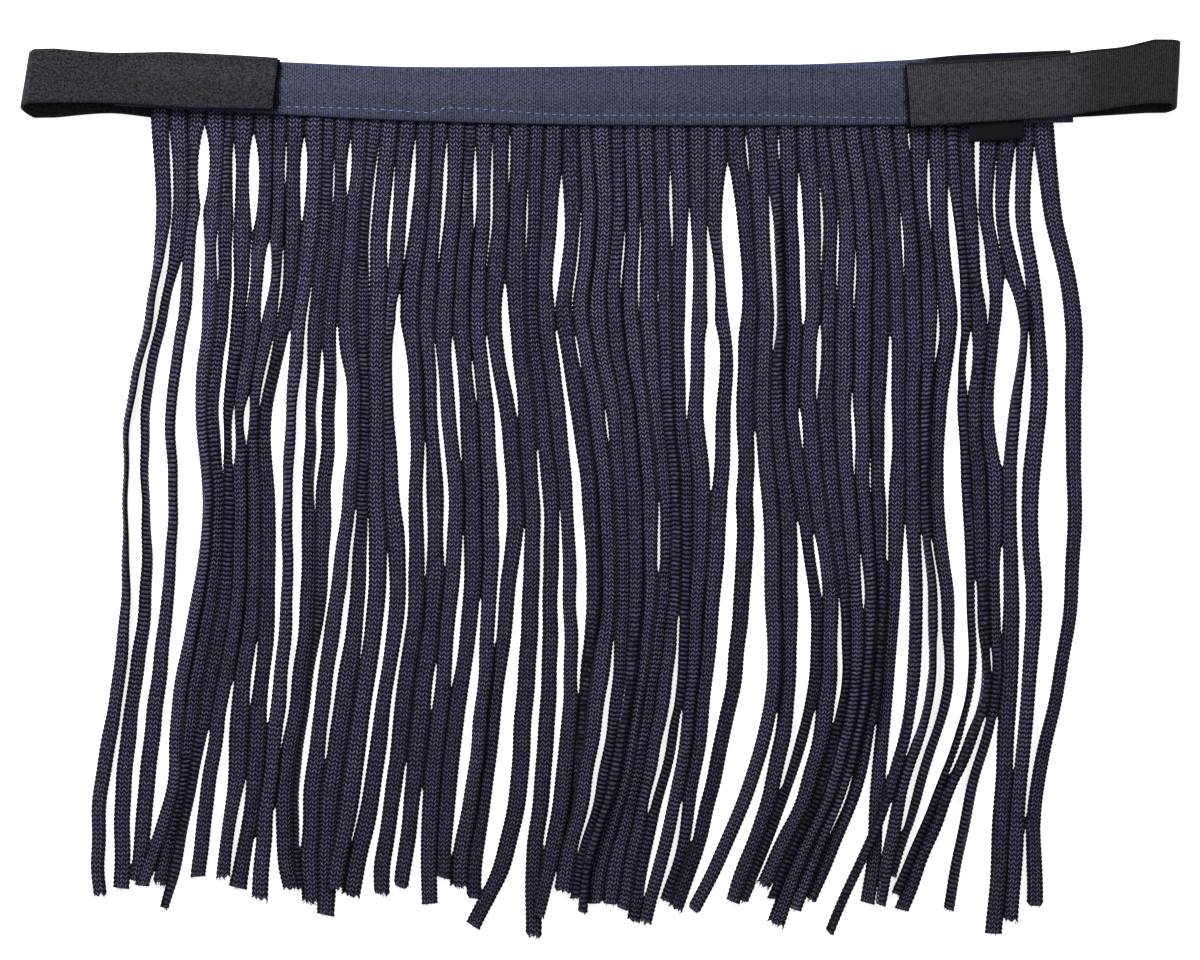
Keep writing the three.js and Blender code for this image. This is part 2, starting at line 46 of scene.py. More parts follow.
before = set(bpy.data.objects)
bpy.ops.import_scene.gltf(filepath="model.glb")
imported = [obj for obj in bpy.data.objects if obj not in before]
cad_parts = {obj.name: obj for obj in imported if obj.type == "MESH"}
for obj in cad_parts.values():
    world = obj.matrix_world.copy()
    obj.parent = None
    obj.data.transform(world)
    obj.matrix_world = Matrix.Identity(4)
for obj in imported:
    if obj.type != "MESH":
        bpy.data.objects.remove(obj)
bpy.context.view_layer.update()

# Thickness of each layer of the band, from the table up, and the air between layers.
GAP = 0.3
TAPE_THICK = 1.0
HEADER_THICK = 2.0
HOOK_THICK = 1.0
ELASTIC_THICK = 1.2
LABEL_THICK = 1.0
HEADER_BASE = TAPE_THICK + GAP
FRONT_BASE = HEADER_BASE + HEADER_THICK + GAP
HOOK_BASE = FRONT_BASE + TAPE_THICK + GAP
TAB_BASE = HOOK_BASE + HOOK_THICK + GAP

# Both ends of the band rise over the elastic beneath them, between these two places.
END_LIFT = ELASTIC_THICK + GAP
LIFT_FROM = 132.0
LIFT_TO = 180.0

# Above the strands' header the front tape comes down onto the back tape.
BEND = 9.5
FALL = HEADER_THICK + GAP

# Each elastic levels out between these two places and opens into a loop past the band's end.
LOOP_FROM = 192.0
LOOP_TO = 206.0
FOLD_CUTS = 24

# The outline of each tape: a place along the band, its lower edge and its upper edge.
FRONT_TAPE = (
    (-203, 156.8, 178.4),
    (-137, 153.2, 175.6),
    (-84, 150.6, 173.5),
    (-17, 148.8, 173.5),
    (56, 148.5, 174.3),
    (128, 148.7, 174.6),
    (198, 149.6, 175.6),
)
BACK_TAPE = (
    (-200, 158.8, 177.6),
    (-84, 152.5, 172.9),
    (0, 150.3, 172.9),
    (75, 149.9, 174.3),
    (128, 149.8, 176.4),
    (152, 150, 178.5),
    (197.4, 150.6, 180.4),
)

# Each elastic from its inner end out to its fold and back beneath: place, lower edge, upper edge, slant.
LEFT_ELASTIC = {
    "over": (
        (-135.9, 155, 176.9, 2.1),
        (-153, 155.2, 178, 0),
        (-170, 155.4, 178.8, 0),
        (-180, 155.9, 179.2, 0),
        (-192, 156.8, 179, 0),
        (-206, 157.6, 178.7, 0),
        (-229, 157.8, 180.4, 2),
    ),
    "fold": (-241, 155.6, 178.6, 3.8),
    "under": (
        (-229, 152, 174.6, 2),
        (-206, 153.9, 176.2, 0),
        (-187, 152, 174.4, 0),
    ),
}
RIGHT_ELASTIC = {
    "over": (
        (129.4, 147.8, 174.7, -1.7),
        (153, 149.2, 175.7, 0),
        (170, 150.2, 176.3, 0),
        (180, 150.9, 177.1, 0),
        (192, 151.7, 178.2, 0),
        (206, 154, 179.8, 0),
        (218, 156, 181.1, 0.8),
        (231, 157.6, 184.2, 1.2),
    ),
    "fold": (242.4, 155.6, 183.4, 1.6),
    "under": (
        (231, 154.1, 180, 1.2),
        (206, 152.6, 178.2, 0),
        (187, 151.7, 177.2, 0),
    ),
}

# A pad shows a little past its elastic's end and lies inside its edges. Loose hooks lean out of its end,
# longest at the lower edge.
HOOK_SHOWS = 0.8
HOOK_LENGTH = 26.0
HOOK_INSET = 0.6
HOOK_PITCH = 1.0
HOOK_LEAN = 0.8
HOOK_FLAT = 1.45
HOOK_SLANTS = 6
HOOK_LONGEST = 3.2
HOOK_SHORTEST = 1.4

# The label hangs from inside the band down to its free edge, a little askew.
LABEL_LEFT = 154.6
LABEL_RIGHT = 177.2
LABEL_FREE = 141.4
LABEL_LEAVES = 148.0
LABEL_INSIDE = 155.6
LABEL_TILT = 1.3
LABEL_DROP = 1.8

# Where the line of blue stitches runs along the front tape: place and height.
SEAM = (
    (-134, 156.3),
    (-103, 155.6),
    (-84, 154.6),
    (-72, 153.8),
    (-65, 155.6),
    (-57, 155.6),
    (-42, 154.7),
    (-17, 152.9),
    (0, 152.7),
    (75, 152.7),
    (92, 152.0),
    (128, 151.5),
)
STITCH_PITCH = 3.6

# A second line of short stitches runs just inside the front tape's upper edge.
TOP_STITCH_PITCH = 3.2
TOP_STITCH_INSET = 1.6

# Distances between the cuts that shape each cloth.
TAPE_CUTS = 0.94
ELASTIC_CUTS = 1.2
PAD_CUTS = 1.0
LABEL_CUTS = 0.6

# Strands that would meet are moved apart, in a few passes, as far as the third neighbour.
GAP_PASSES = 4
GAP_REACH = 3

# A strand that looks narrow is rolled this much of the way onto its edge, once clear of the band.
ROLLED_SHARE = 0.6
ROLL_FROM = 12.0
ROLL_TO = 50.0

# Drops count down from one height, and the strands' edges are worked out at evenly spaced drops.
DROP_LEVEL = 150.0
FIRST_DROP = -12
SAMPLE = 2.5
SAMPLES = 144

# A strand starts inside the band, above the back tape, and sinks to the table.
ROOT_BASE = HEADER_BASE + 0.2
ROOT_INSIDE = 4.0
SINK_PART = 20.0
SINK_ALL = 40.0
SUNK_SHARE = 0.33
STRAND_THICK = 1.8

# The tip of one strand over its neighbour, counted from the left, and from what drop.
LAPS = (
    (4, 3, 300),
    (15, 14, 300),
    (23, 22, 306),
    (25, 24, 300),
    (27, 26, 260),
    (46, 45, 278),
)
LAP_GAP = 0.35
LAP_RISE = 20.0

# The openings between strands near the band: the strand on the left, the drop at which the opening starts,
# is widest and ends, and how wide it is there. One that ends at SLITS_TO stays open below it.
SLITS_FROM = 66.0
SLITS_TO = 90.0
SLITS = (
    (1, 1, 20, 46, 1.2), (1, 40, 85, 90, 3.3), (2, 57, 85, 90, 4.6), (3, 1, 17, 38, 4.8),
    (3, 34, 60, 90, 4.0), (4, 43, 56, 70, 1.0), (5, 7, 19, 44, 1.7), (5, 40, 80, 90, 1.6),
    (6, 3, 21, 46, 4.4), (6, 40, 80, 90, 0.8), (7, 48, 63, 90, 3.0), (8, 7, 17, 27, 0.9),
    (8, 50, 75, 90, 1.2), (9, 5, 18, 43, 2.9), (10, 66, 78, 90, 0.8), (11, 13, 26, 37, 0.9),
    (12, 6, 18, 31, 2.0), (14, 9, 30, 77, 1.0), (15, 16, 44, 62, 1.5), (16, 6, 27, 59, 2.2),
    (16, 71, 84, 90, 2.4), (18, 7, 24, 60, 1.7), (20, 9, 27, 45, 1.7), (21, 7, 25, 62, 1.1),
    (22, 3, 14, 28, 0.8), (22, 66, 82, 90, 3.4), (23, 27, 40, 54, 0.9), (25, 21, 52, 81, 3.6),
    (26, 36, 60, 90, 0.8), (29, 44, 56, 73, 0.9), (30, 38, 64, 90, 1.0), (31, 70, 74, 78, 0.8),
    (32, 20, 34, 54, 1.5), (33, 34, 72, 90, 3.2), (34, 42, 82, 90, 4.2), (35, 16, 52, 90, 7.2),
    (36, 4, 12, 22, 0.9), (37, 29, 50, 90, 2.0), (38, 5, 10, 16, 0.8), (39, 20, 38, 90, 2.3),
    (40, 26, 40, 64, 1.0), (41, 39, 54, 73, 0.9), (42, 52, 66, 84, 1.1), (45, 35, 48, 64, 0.9),
    (46, 2, 7, 13, 0.9), (47, 13, 28, 48, 1.6), (48, 26, 55, 82, 2.8), (50, 0, 10, 40, 2.2),
    (50, 38, 70, 90, 3.2), (51, 14, 34, 54, 1.1), (51, 64, 78, 90, 5.0), (52, 8, 42, 73, 3.2),
    (53, 10, 80, 90, 9.0),
)

# Narrow openings lower down. Without one of these, strands touch along any stretch where they come
# nearer than SLIT_LEAST, or where the opening is nowhere wider than SLIT_SURE.
LOWER_SLITS = (
    (1, 200, 235, 275, 1.6), (2, 240, 262, 296, 2.1), (5, 88, 116, 152, 2.5), (6, 118, 132, 146, 1.7),
    (6, 256, 285, 330, 1.8), (7, 114, 124, 134, 2.1), (8, 88, 104, 122, 1.3), (8, 214, 232, 246, 1.7),
    (8, 274, 292, 318, 2.5), (9, 150, 185, 254, 1.5), (10, 88, 132, 266, 4.2), (11, 92, 116, 166, 2.9),
    (12, 200, 260, 280, 2.9), (13, 186, 204, 266, 2.5), (14, 160, 196, 230, 1.3), (15, 176, 216, 310, 2.1),
    (16, 80, 108, 180, 6.8), (17, 130, 164, 194, 1.7), (17, 272, 300, 345, 2.3), (18, 86, 160, 190, 2.1),
    (18, 224, 236, 250, 1.3), (19, 88, 102, 146, 2.1), (19, 170, 216, 238, 2.5), (20, 98, 104, 122, 0.9),
    (20, 216, 240, 302, 3.8), (21, 102, 148, 202, 3.4), (22, 70, 88, 126, 3.4), (22, 166, 200, 330, 2.0),
    (23, 146, 170, 330, 1.6), (24, 158, 240, 282, 3.0), (25, 98, 180, 238, 4.2), (26, 86, 95, 106, 0.9),
    (27, 118, 127, 138, 0.9), (27, 214, 256, 310, 2.5), (30, 154, 184, 190, 1.3), (32, 230, 244, 262, 2.1),
    (33, 60, 88, 126, 2.9), (33, 282, 296, 322, 2.3), (34, 80, 96, 154, 6.5), (34, 282, 320, 350, 1.3),
    (35, 110, 150, 298, 3.6), (37, 70, 88, 97, 1.3), (37, 256, 290, 350, 3.9), (38, 172, 220, 268, 5.9),
    (39, 118, 124, 138, 1.3), (39, 170, 182, 202, 1.7), (39, 254, 280, 306, 2.5), (40, 84, 94, 118, 2.1),
    (40, 198, 228, 254, 2.1), (42, 110, 132, 150, 1.7), (42, 178, 196, 206, 1.7), (43, 138, 148, 158, 0.9),
    (43, 270, 284, 306, 1.3), (44, 102, 132, 166, 3.4), (45, 166, 240, 270, 5.5), (46, 170, 240, 266, 3.4),
    (47, 70, 88, 102, 1.7), (47, 206, 228, 282, 3.4), (48, 108, 148, 200, 7.0), (48, 200, 250, 320, 4.8),
    (49, 86, 100, 114, 2.9), (49, 214, 244, 262, 3.4), (50, 218, 223, 233, 0.9), (51, 60, 92, 146, 9.0),
    (51, 174, 190, 218, 1.7), (52, 86, 116, 266, 3.0),
)
SLIT_LEAST = 0.8
SLIT_SURE = 2.4
SLIT_SHOWS = 0.4
SLIT_SHUT = 0.1
SLIT_GLARE = 0.3
SLIT_FULLNESS = 0.8
SWELL = 0.3
TUCK = 0.3
LAP_MEET = 1.0
STRAND_LEAST = 2.6

# The strands from left to right: the middle of the strand at each drop and at its tip, its length, and
# its width from above at each drop and at its tip.
PLACE_DROPS = (0, 40, 80, 120, 160, 200, 240, 280, 310)
WIDTH_DROPS = (0, 80, 160, 240)
STRANDS = (
    (-184.5, -183.5, -188.5, -197.5, -199, -199, -202.5, -209.5, -210.5, -210, 323.5, 7, 4, 1.5, 6.5, 5.5),
    (-176.5, -176, -183.5, -190.5, -190.5, -190.5, -196, -200, -200.5, -200.5, 321, 7, 3.5, 2.5, 6, 6),
    (-169.5, -170.5, -174.5, -180, -179, -181.5, -186, -190.5, -193, -194.5, 317.5, 6, 5, 4, 6.5, 6.5),
    (-161, -163.5, -164, -167.5, -164.5, -169, -176.5, -179, -188.5, -191.5, 319, 7, 5.5, 4, 5.5, 6),
    (-155.5, -157, -158.5, -162.5, -160, -163.5, -170.5, -175, -183, -185, 319.5, 3, 5, 4.5, 6, 5.5),
    (-149.5, -149.5, -151.5, -155.5, -155.5, -157.5, -164.5, -172, -177.5, -182.5, 330.5,
     7, 5, 3.5, 5.5, 2.5),
    (-141, -141.5, -145.5, -151, -151, -152, -158.5, -164.5, -168, -168.5, 316, 7, 6, 5.5, 6, 6),
    (-134.5, -135.5, -138, -145, -145.5, -146, -150.5, -153.5, -157.5, -158.5, 317, 5, 5, 5.5, 7.5, 5),
    (-127.5, -129, -131.5, -140.5, -139.5, -139.5, -142.5, -145, -150, -151.5, 320, 6.5, 5, 5.5, 6.5, 6),
    (-120, -121, -126, -129, -131, -131, -134.5, -139, -142, -143, 326.5, 7, 6, 4.5, 6.5, 6.5),
    (-113.5, -115, -119, -121, -122.5, -123, -126.5, -132.5, -131.5, -129.5, 321.5, 4, 5.5, 5, 7, 6.5),
    (-107.5, -109.5, -113, -114, -116, -117, -122, -127.5, -127, -126.5, 321, 6, 5, 6, 2, 2),
    (-100.5, -103.5, -106.5, -102.5, -105.5, -110.5, -116.5, -120.5, -122.5, -122, 327,
     6.5, 7.5, 5.5, 7.5, 6),
    (-94, -98.5, -99.5, -99, -100, -102, -107, -113, -114, -114.5, 332.5, 4.5, 4.5, 4, 8, 6.5),
    (-88, -92.5, -93.5, -93.5, -94, -93.5, -99, -104.5, -110, -111.5, 322, 6.5, 7, 6.5, 7.5, 6.5),
    (-80.5, -84, -87.5, -88.5, -86.5, -85, -90.5, -95.5, -101.5, -105, 325.5, 7, 4, 7, 6.5, 7),
    (-73.5, -75.5, -80, -77, -77.5, -77, -82, -86.5, -91, -91.5, 324, 6.5, 7.5, 6.5, 7, 6.5),
    (-67, -69.5, -72.5, -71, -69, -70, -74.5, -78.5, -82, -83.5, 320.5, 5.5, 6.5, 7, 8, 6),
    (-60, -62, -65.5, -64, -60.5, -63, -66.5, -71, -72, -71.5, 327.5, 6.5, 7, 6.5, 6.5, 6),
    (-54.5, -56, -58.5, -55.5, -53.5, -54, -59, -63.5, -65.5, -65.5, 316, 4, 6.5, 7.5, 6.5, 5.5),
    (-48.5, -49, -51.5, -48, -46, -46.5, -49, -53.5, -59, -59.5, 320.5, 6.5, 6, 7, 5.5, 6.5),
    (-41.5, -42, -44.5, -39, -35.5, -39, -43.5, -48, -52, -52.5, 326, 7, 7, 7, 5.5, 5),
    (-33.5, -35, -35, -31.5, -28.5, -29, -31.5, -34.5, -40.5, -53.5, 336.5, 7.5, 7.5, 6.5, 7, 7),
    (-26, -27.5, -28.5, -24.5, -20.5, -20.5, -21.5, -24.5, -27.5, -28, 342, 5, 4.5, 7, 6.5, 6.5),
    (-19.5, -21, -22.5, -18, -14, -13, -12.5, -16, -21, -26, 334, 6.5, 7, 6, 6, 6.5),
    (-12.5, -12, -15, -9, -4.5, -3, -7, -9, -14, -16, 316, 6, 7, 6.5, 3.5, 6.5),
    (-6.5, -4.5, -8, -1.5, 2.5, 3.5, -1, -7, -13.5, -16, 322, 4.5, 6, 7, 7, 7.5),
    (0.5, 2, -1, 5.5, 8.5, 9.5, 7, 0, -8, -10, 325.5, 7.5, 7, 5, 5, 4),
    (7.5, 8, 6, 11.5, 14.5, 15, 11.5, 4.5, -5.5, -7.5, 332.5, 5, 5.5, 6.5, 3.5, 3.5),
    (12.5, 13.5, 12.5, 17.5, 21, 20.5, 16, 9, -0.5, -2, 328, 5, 7, 7, 5, 6),
    (19, 20.5, 20.5, 23.5, 27.5, 26.5, 21, 14.5, 7.5, 4, 328.5, 6.5, 7, 5.5, 5, 6.5),
    (25.5, 26.5, 27.5, 28.5, 32, 31, 26.5, 19, 13, 10, 329, 5.5, 5, 3.5, 6, 4.5),
    (33, 34, 33, 33.5, 36, 35.5, 33.5, 25.5, 18, 14.5, 335, 7.5, 5.5, 5, 3.5, 5),
    (41, 41.5, 42, 40.5, 42.5, 40.5, 38, 32.5, 25.5, 18.5, 336.5, 7.5, 6.5, 7.5, 4.5, 5.5),
    (49, 48.5, 51.5, 52, 50, 47, 43.5, 38.5, 33, 27.5, 327, 7, 6, 7, 6, 4.5),
    (57, 60.5, 62.5, 61, 61, 59.5, 55, 46.5, 39, 31.5, 330.5, 7, 7.5, 7, 6, 6),
    (64.5, 67.5, 69.5, 68, 71.5, 72.5, 72.5, 62, 49.5, 39, 330.5, 7.5, 6.5, 6.5, 5.5, 5.5),
    (71.5, 74.5, 75.5, 74.5, 78.5, 79.5, 78.5, 72, 61.5, 55.5, 327.5, 5.5, 2.5, 7, 6.5, 5.5),
    (78.5, 79, 81, 80, 85, 90.5, 89, 78, 67, 60, 327.5, 7, 7.5, 6, 5, 3.5),
    (86, 89, 89, 87.5, 91.5, 96.5, 95.5, 87, 73, 68.5, 319.5, 7, 6, 7, 7, 6),
    (92.5, 96.5, 96, 95, 98, 102.5, 102, 92.5, 78.5, 72, 325.5, 5, 6.5, 6.5, 3.5, 4),
    (98.5, 103.5, 102.5, 102, 104.5, 107.5, 106.5, 96.5, 83, 74, 336, 6.5, 7, 6, 4.5, 6),
    (105, 110, 110.5, 110, 110.5, 113.5, 110.5, 101, 88.5, 82.5, 329.5, 6.5, 6.5, 6, 4, 4.5),
    (111, 116.5, 118, 116.5, 117, 117.5, 115, 107, 95, 88.5, 325.5, 4.5, 7, 5.5, 4.5, 5),
    (118, 123, 125, 125.5, 124.5, 123.5, 120, 116.5, 115, 112.5, 327, 7.5, 6, 7, 5.5, 6),
    (125.5, 129.5, 131.5, 131, 131.5, 132, 131, 121.5, 109, 96, 339.5, 5.5, 7, 6, 5, 4),
    (133.5, 135, 138.5, 136, 136, 139.5, 138.5, 126.5, 121, 118.5, 329, 7.5, 6, 3, 3.5, 6),
    (141.5, 142, 146, 142, 141, 145.5, 145, 133.5, 125, 122.5, 317, 7, 7.5, 6.5, 4.5, 4),
    (147.5, 150.5, 153.5, 152, 154, 155.5, 155, 142, 129, 124, 323.5, 4, 4.5, 4, 3, 4),
    (153.5, 155.5, 159, 157, 159, 160.5, 161.5, 146.5, 134.5, 127, 330, 6.5, 6, 5, 4, 5),
    (163, 162, 166, 163, 166, 165, 165.5, 156, 149.5, 146.5, 330, 7.5, 6, 6.5, 4.5, 4.5),
    (171, 169, 177.5, 173.5, 172, 172.5, 171.5, 169, 167.5, 165, 339.5, 7, 4, 5.5, 7, 6),
    (178, 177.5, 183, 184, 180, 182, 179.5, 176, 174, 172, 335.5, 5.5, 6, 7, 5, 6),
    (186, 190.5, 198.5, 198.5, 199, 197.5, 191.5, 183, 182, 182.5, 328, 7.5, 7, 6, 5.5, 6.5),
)

# Round a strand, which is a flat tube with three columns of V stitches on its upper side: place across it,
# height, and how far the yarn lies ahead along the strand.
KNIT_SECTION = (
    (-1.0, 0.46, 1.0),
    (-0.67, 0.85, -1.0),
    (-0.33, 0.97, 1.0),
    (0.0, 1.00, -1.0),
    (0.33, 0.97, 1.0),
    (0.67, 0.85, -1.0),
    (1.0, 0.46, 1.0),
    (0.55, 0.03, -1.0),
    (0.0, 0.0, 1.0),
    (-0.55, 0.03, -1.0),
)
KNIT_COLUMNS = 6

# Along one stitch: where the rings are, and how far the yarn swells out there.
STITCH_PHASES = ((0.0, -0.32), (0.22, 0.03), (0.5, 0.14), (0.78, 0.03))
STITCH_SWELL = 0.3

# A V's legs slant on a flat strand, and a rolled one's rungs arch and slope, by these shares of a stitch.
LEG_SLANT = 0.4
RUNG_ARCH = 0.3
RUNG_SLOPE = 0.14
CUT_RUN = 4.0
SCALLOP = 0.22
STRAND_STITCHES = 200
GROUPS = 6

# Strands whose cut ends are more frayed than the others, and how many loose yarns they show.
RAGGED = {5: 26, 13: 16, 24: 16, 34: 18, 47: 16}
LOOSE_YARNS = 4

# The weave of each cloth: the pitch of its ribs, and on the tape of its faint lines and zigzag rows.
TAPE_RIB = 0.945
TAPE_LINE = 9.45
ZIGZAG_ROWS = (8.4, 16.4)
ZIGZAG_PITCH = 3.7
ZIGZAG_SWING = 1.7
ZIGZAG_NEST = 1.5
ELASTIC_RIB = 0.95
SATIN_RIB = 0.35


def clamp(value, low=0.0, high=1.0):
    return min(max(value, low), high)


def lerp(a, b, share):
    return a + (b - a) * share


def ease(value, low, high):
    t = clamp((value - low) / (high - low))
    return t * t * (3 - 2 * t)


def straight(stops, values, place):
    """A line of straight stretches through values at rising stops."""
    i = clamp(bisect.bisect_right(stops, place) - 1, 0, len(stops) - 2)
    return lerp(values[i], values[i + 1], clamp((place - stops[i]) / (stops[i + 1] - stops[i])))


def through(stops, values, place):
    """A smooth line through values at rising stops."""
    last = len(stops) - 1

    def slope(i):
        a, b = max(0, i - 1), min(last, i + 1)
        return (values[b] - values[a]) / (stops[b] - stops[a])

    if place <= stops[0]:
        return values[0]
    if place >= stops[last]:
        return values[last] + slope(last) * (place - stops[last])
    i = bisect.bisect_right(stops, place) - 1
    span = stops[i + 1] - stops[i]
    t = (place - stops[i]) / span
    ends = values[i] * (1 + 2 * t) * (1 - t) ** 2 + values[i + 1] * t * t * (3 - 2 * t)
    return ends + span * t * (1 - t) * (slope(i) * (1 - t) - slope(i + 1) * t)


def outline(rows, column, place):
    """One edge of a piece at a place along it, as a smooth line through its rows."""
    ordered = sorted(rows)
    return through([row[0] for row in ordered], [row[column] for row in ordered], place)


def steps(start, end, pitch):
    """Evenly spaced places from start to end, about a pitch apart."""
    count = max(1, round(abs(end - start) / pitch))
    return [lerp(start, end, i / count) for i in range(count + 1)]


def lift_at(x):
    return END_LIFT * clamp((abs(x) - LIFT_FROM) / (LIFT_TO - LIFT_FROM))


def fall_at(x, y):
    """How far the layers on the front tape have come down at a place across the band."""
    bend = outline(FRONT_TAPE, 1, x) + BEND
    return FALL * ease(y, bend, outline(FRONT_TAPE, 2, x))


# The tables count from the middle of the photographed area. The label's corner gives the way to the frame.
label_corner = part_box("label")[0]
SHIFT = Vector((label_corner.x * 1000 - LABEL_LEFT, label_corner.y * 1000 - LABEL_FREE, 0))


def placed(x, y, z):
    return ((x + SHIFT.x) / 1000, (y + SHIFT.y) / 1000, z / 1000)


def sleeve(mesh, rings, marks, layer):
    """A closed tube through rings of points, all of the same count, with a mark on each point."""
    around = len(rings[0])
    made = bmesh.ops.create_grid(mesh, x_segments=around, y_segments=len(rings) - 1, size=1)
    verts = made["verts"]
    row = around + 1
    for i, (ring, mark) in enumerate(zip(rings, marks)):
        for j in range(row):
            vert = verts[i * row + j]
            vert.co = ring[j % around]
            vert[layer] = mark[j % around]
    seam = [v for i in range(len(rings)) for v in (verts[i * row], verts[i * row + around])]
    bmesh.ops.remove_doubles(mesh, verts=seam, dist=1e-7)
    live = [v for v in verts if v.is_valid]
    rims = [e for e in {e for v in live for e in v.link_edges} if e.is_boundary]
    bmesh.ops.holes_fill(mesh, edges=rims, sides=0)


def made_object(mesh, name):
    data = bpy.data.meshes.new(name)
    mesh.to_mesh(data)
    mesh.free()
    made = bpy.data.objects.new(name, data)
    bpy.context.scene.collection.objects.link(made)
    return made


def finish_piece(mesh, name):
    """Turns a bmesh into an object at the origin that rides on the part."""
    bmesh.ops.recalc_face_normals(mesh, faces=mesh.faces)
    for face in mesh.faces:
        face.smooth = len(face.verts) == 4
    piece = made_object(mesh, name)
    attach(piece, "root")
    return piece


def strip_loop(across, under=4):
    """The loop of a flat strip's section: share across and share of thickness, underside first."""
    rim = 0.02
    below = [(lerp(rim, 1 - rim, i / under), 0.0) for i in range(under + 1)]
    above = [(lerp(1 - rim, rim, i / across), 1.0) for i in range(across + 1)]
    return below + [(0.996, 0.2), (1.0, 0.5), (0.996, 0.8)] + above + [(0.004, 0.8), (0.0, 0.5), (0.004, 0.2)]


def cut_at(rows, x, along, base, thick, inset=0, **more):
    """A cut across a cloth whose edges run through rows, at x."""
    edges = {"lower": outline(rows, 1, x) + inset, "upper": outline(rows, 2, x) - inset}
    return {"x": x, "along": along, "base": base, "thick": thick, **edges, **more}


def strip(mesh, layer, cuts, across, relief=None):
    """A flat strip through cuts along it. A cut may also give slant, normal and how far it falls with
    the tapes."""
    loop = strip_loop(across)
    rings, marks = [], []
    for cut in cuts:
        ring, mark = [], []
        width = cut["upper"] - cut["lower"]
        normal = cut.get("normal", (0, 1))
        for share, out in loop:
            y = cut["lower"] + width * share
            x = cut["x"] + cut.get("slant", 0) * (share - 0.5)
            depth = cut["thick"] * out
            if relief and out == 1.0:
                depth += relief(cut["along"], width * share, width)
            z = cut["base"] - cut.get("falls", 0) * fall_at(cut["x"], y)
            ring.append(placed(x + normal[0] * depth, y, z + normal[1] * depth))
            mark.append((cut["along"], width * share, width * (1 - share)))
        rings.append(ring)
        marks.append(mark)
    sleeve(mesh, rings, marks, layer)


class Value:
    """A number that varies over a surface, so that shader maths reads as arithmetic."""

    def __init__(self, shader, socket):
        self.shader = shader
        self.socket = socket

    def __add__(self, other):
        return self.shader.math("ADD", self, other)

    def __sub__(self, other):
        return self.shader.math("SUBTRACT", self, other)

    def __rsub__(self, other):
        return self.shader.math("SUBTRACT", other, self)

    def __mul__(self, other):
        return self.shader.math("MULTIPLY", self, other)

    def __truediv__(self, other):
        return self.shader.math("DIVIDE", self, other)

    def __pow__(self, other):
        return self.shader.math("POWER", self, other)

    __radd__ = __add__
    __rmul__ = __mul__


class Shader:
    """A material and the few ways in which its nodes are made."""

    def __init__(self, name, roughness=0.9, sheen=0.0, specular=0.3):
        self.material = bpy.data.materials.new(name)
        self.material.use_nodes = True
        self.tree = self.material.node_tree
        self.surface = self.tree.nodes["Principled BSDF"]
        self.surface.inputs["Roughness"].default_value = roughness
        self.surface.inputs["Specular IOR Level"].default_value = specular
        self.surface.inputs["Sheen Weight"].default_value = sheen

    def node(self, kind, settings=None, inputs=None):
        made = self.tree.nodes.new(kind)
        for key, value in (settings or {}).items():
            setattr(made, key, value)
        for key, value in (inputs or {}).items():
            self.feed(made.inputs[key], value)
        return made

    def feed(self, socket, value):
        if isinstance(value, Value):
            self.tree.links.new(value.socket, socket)
        elif isinstance(value, bpy.types.NodeSocket):
            self.tree.links.new(value, socket)
        else:
            socket.default_value = value

    def math(self, operation, *terms):
        made = self.node("ShaderNodeMath", {"operation": operation}, dict(enumerate(terms)))
        return Value(self, made.outputs[0])

    def smooth(self, value, low, high):
        """0 below low, 1 above high, and a soft step between."""
        inputs = {"Value": value, "From Min": low, "From Max": high}
        made = self.node("ShaderNodeMapRange", {"interpolation_type": "SMOOTHSTEP"}, inputs)
        return Value(self, made.outputs[0])

    def marks(self, name):
        """The three numbers that the piece's own attribute holds."""
        return self.parts(self.node("ShaderNodeAttribute", {"attribute_name": name}).outputs["Vector"])

    def parts(self, vector):
        split = self.node("ShaderNodeSeparateXYZ", None, {0: vector})
        return [Value(self, out) for out in split.outputs]

    def place(self):
        return self.node("ShaderNodeTexCoord").outputs["Object"]

    def vector(self, x, y=0.0, z=0.0):
        return self.node("ShaderNodeCombineXYZ", None, {0: x, 1: y, 2: z}).outputs[0]

    def noise(self, scale, detail=2.0, vector=None, roughness=0.5):
        inputs = {"Vector": vector or self.place(), "Scale": scale, "Detail": detail, "Roughness": roughness}
        return Value(self, self.node("ShaderNodeTexNoise", None, inputs).outputs["Fac"])

    def chance(self, *places):
        """A number from 0 to 1 that differs between whole numbers of each place."""
        cell = self.vector(*(self.math("FLOOR", place) for place in places))
        return Value(self, self.node("ShaderNodeTexWhiteNoise", None, {"Vector": cell}).outputs["Value"])

    def mix(self, share, a, b):
        made = self.node("ShaderNodeMix", {"data_type": "RGBA"}, {"Factor": share, 6: a, 7: b})
        return made.outputs[2]

    def shades(self, share, colour, dark, light):
        """A colour between two factors of itself."""
        return self.mix(share, rgba(colour, dark), rgba(colour, light))

    def wave(self, value):
        """A cosine of period 1, from 0 to 1."""
        return self.math("COSINE", value * math.tau) * 0.5 + 0.5

    def saw(self, value):
        """A triangle of period 1, from 0 to 1 and back."""
        return self.math("PINGPONG", value, 0.5) * 2

    def done(self, colour, height, distance, roughness=None):
        bump = self.node("ShaderNodeBump", None, {"Height": height, "Distance": distance, "Strength": 1.0})
        self.feed(self.surface.inputs["Normal"], bump.outputs[0])
        self.feed(self.surface.inputs["Base Color"], colour)
        if roughness is not None:
            self.feed(self.surface.inputs["Roughness"], roughness)
        return self.material


def rgba(colour, factor=1.0):
    return (colour[0] * factor, colour[1] * factor, colour[2] * factor, 1.0)


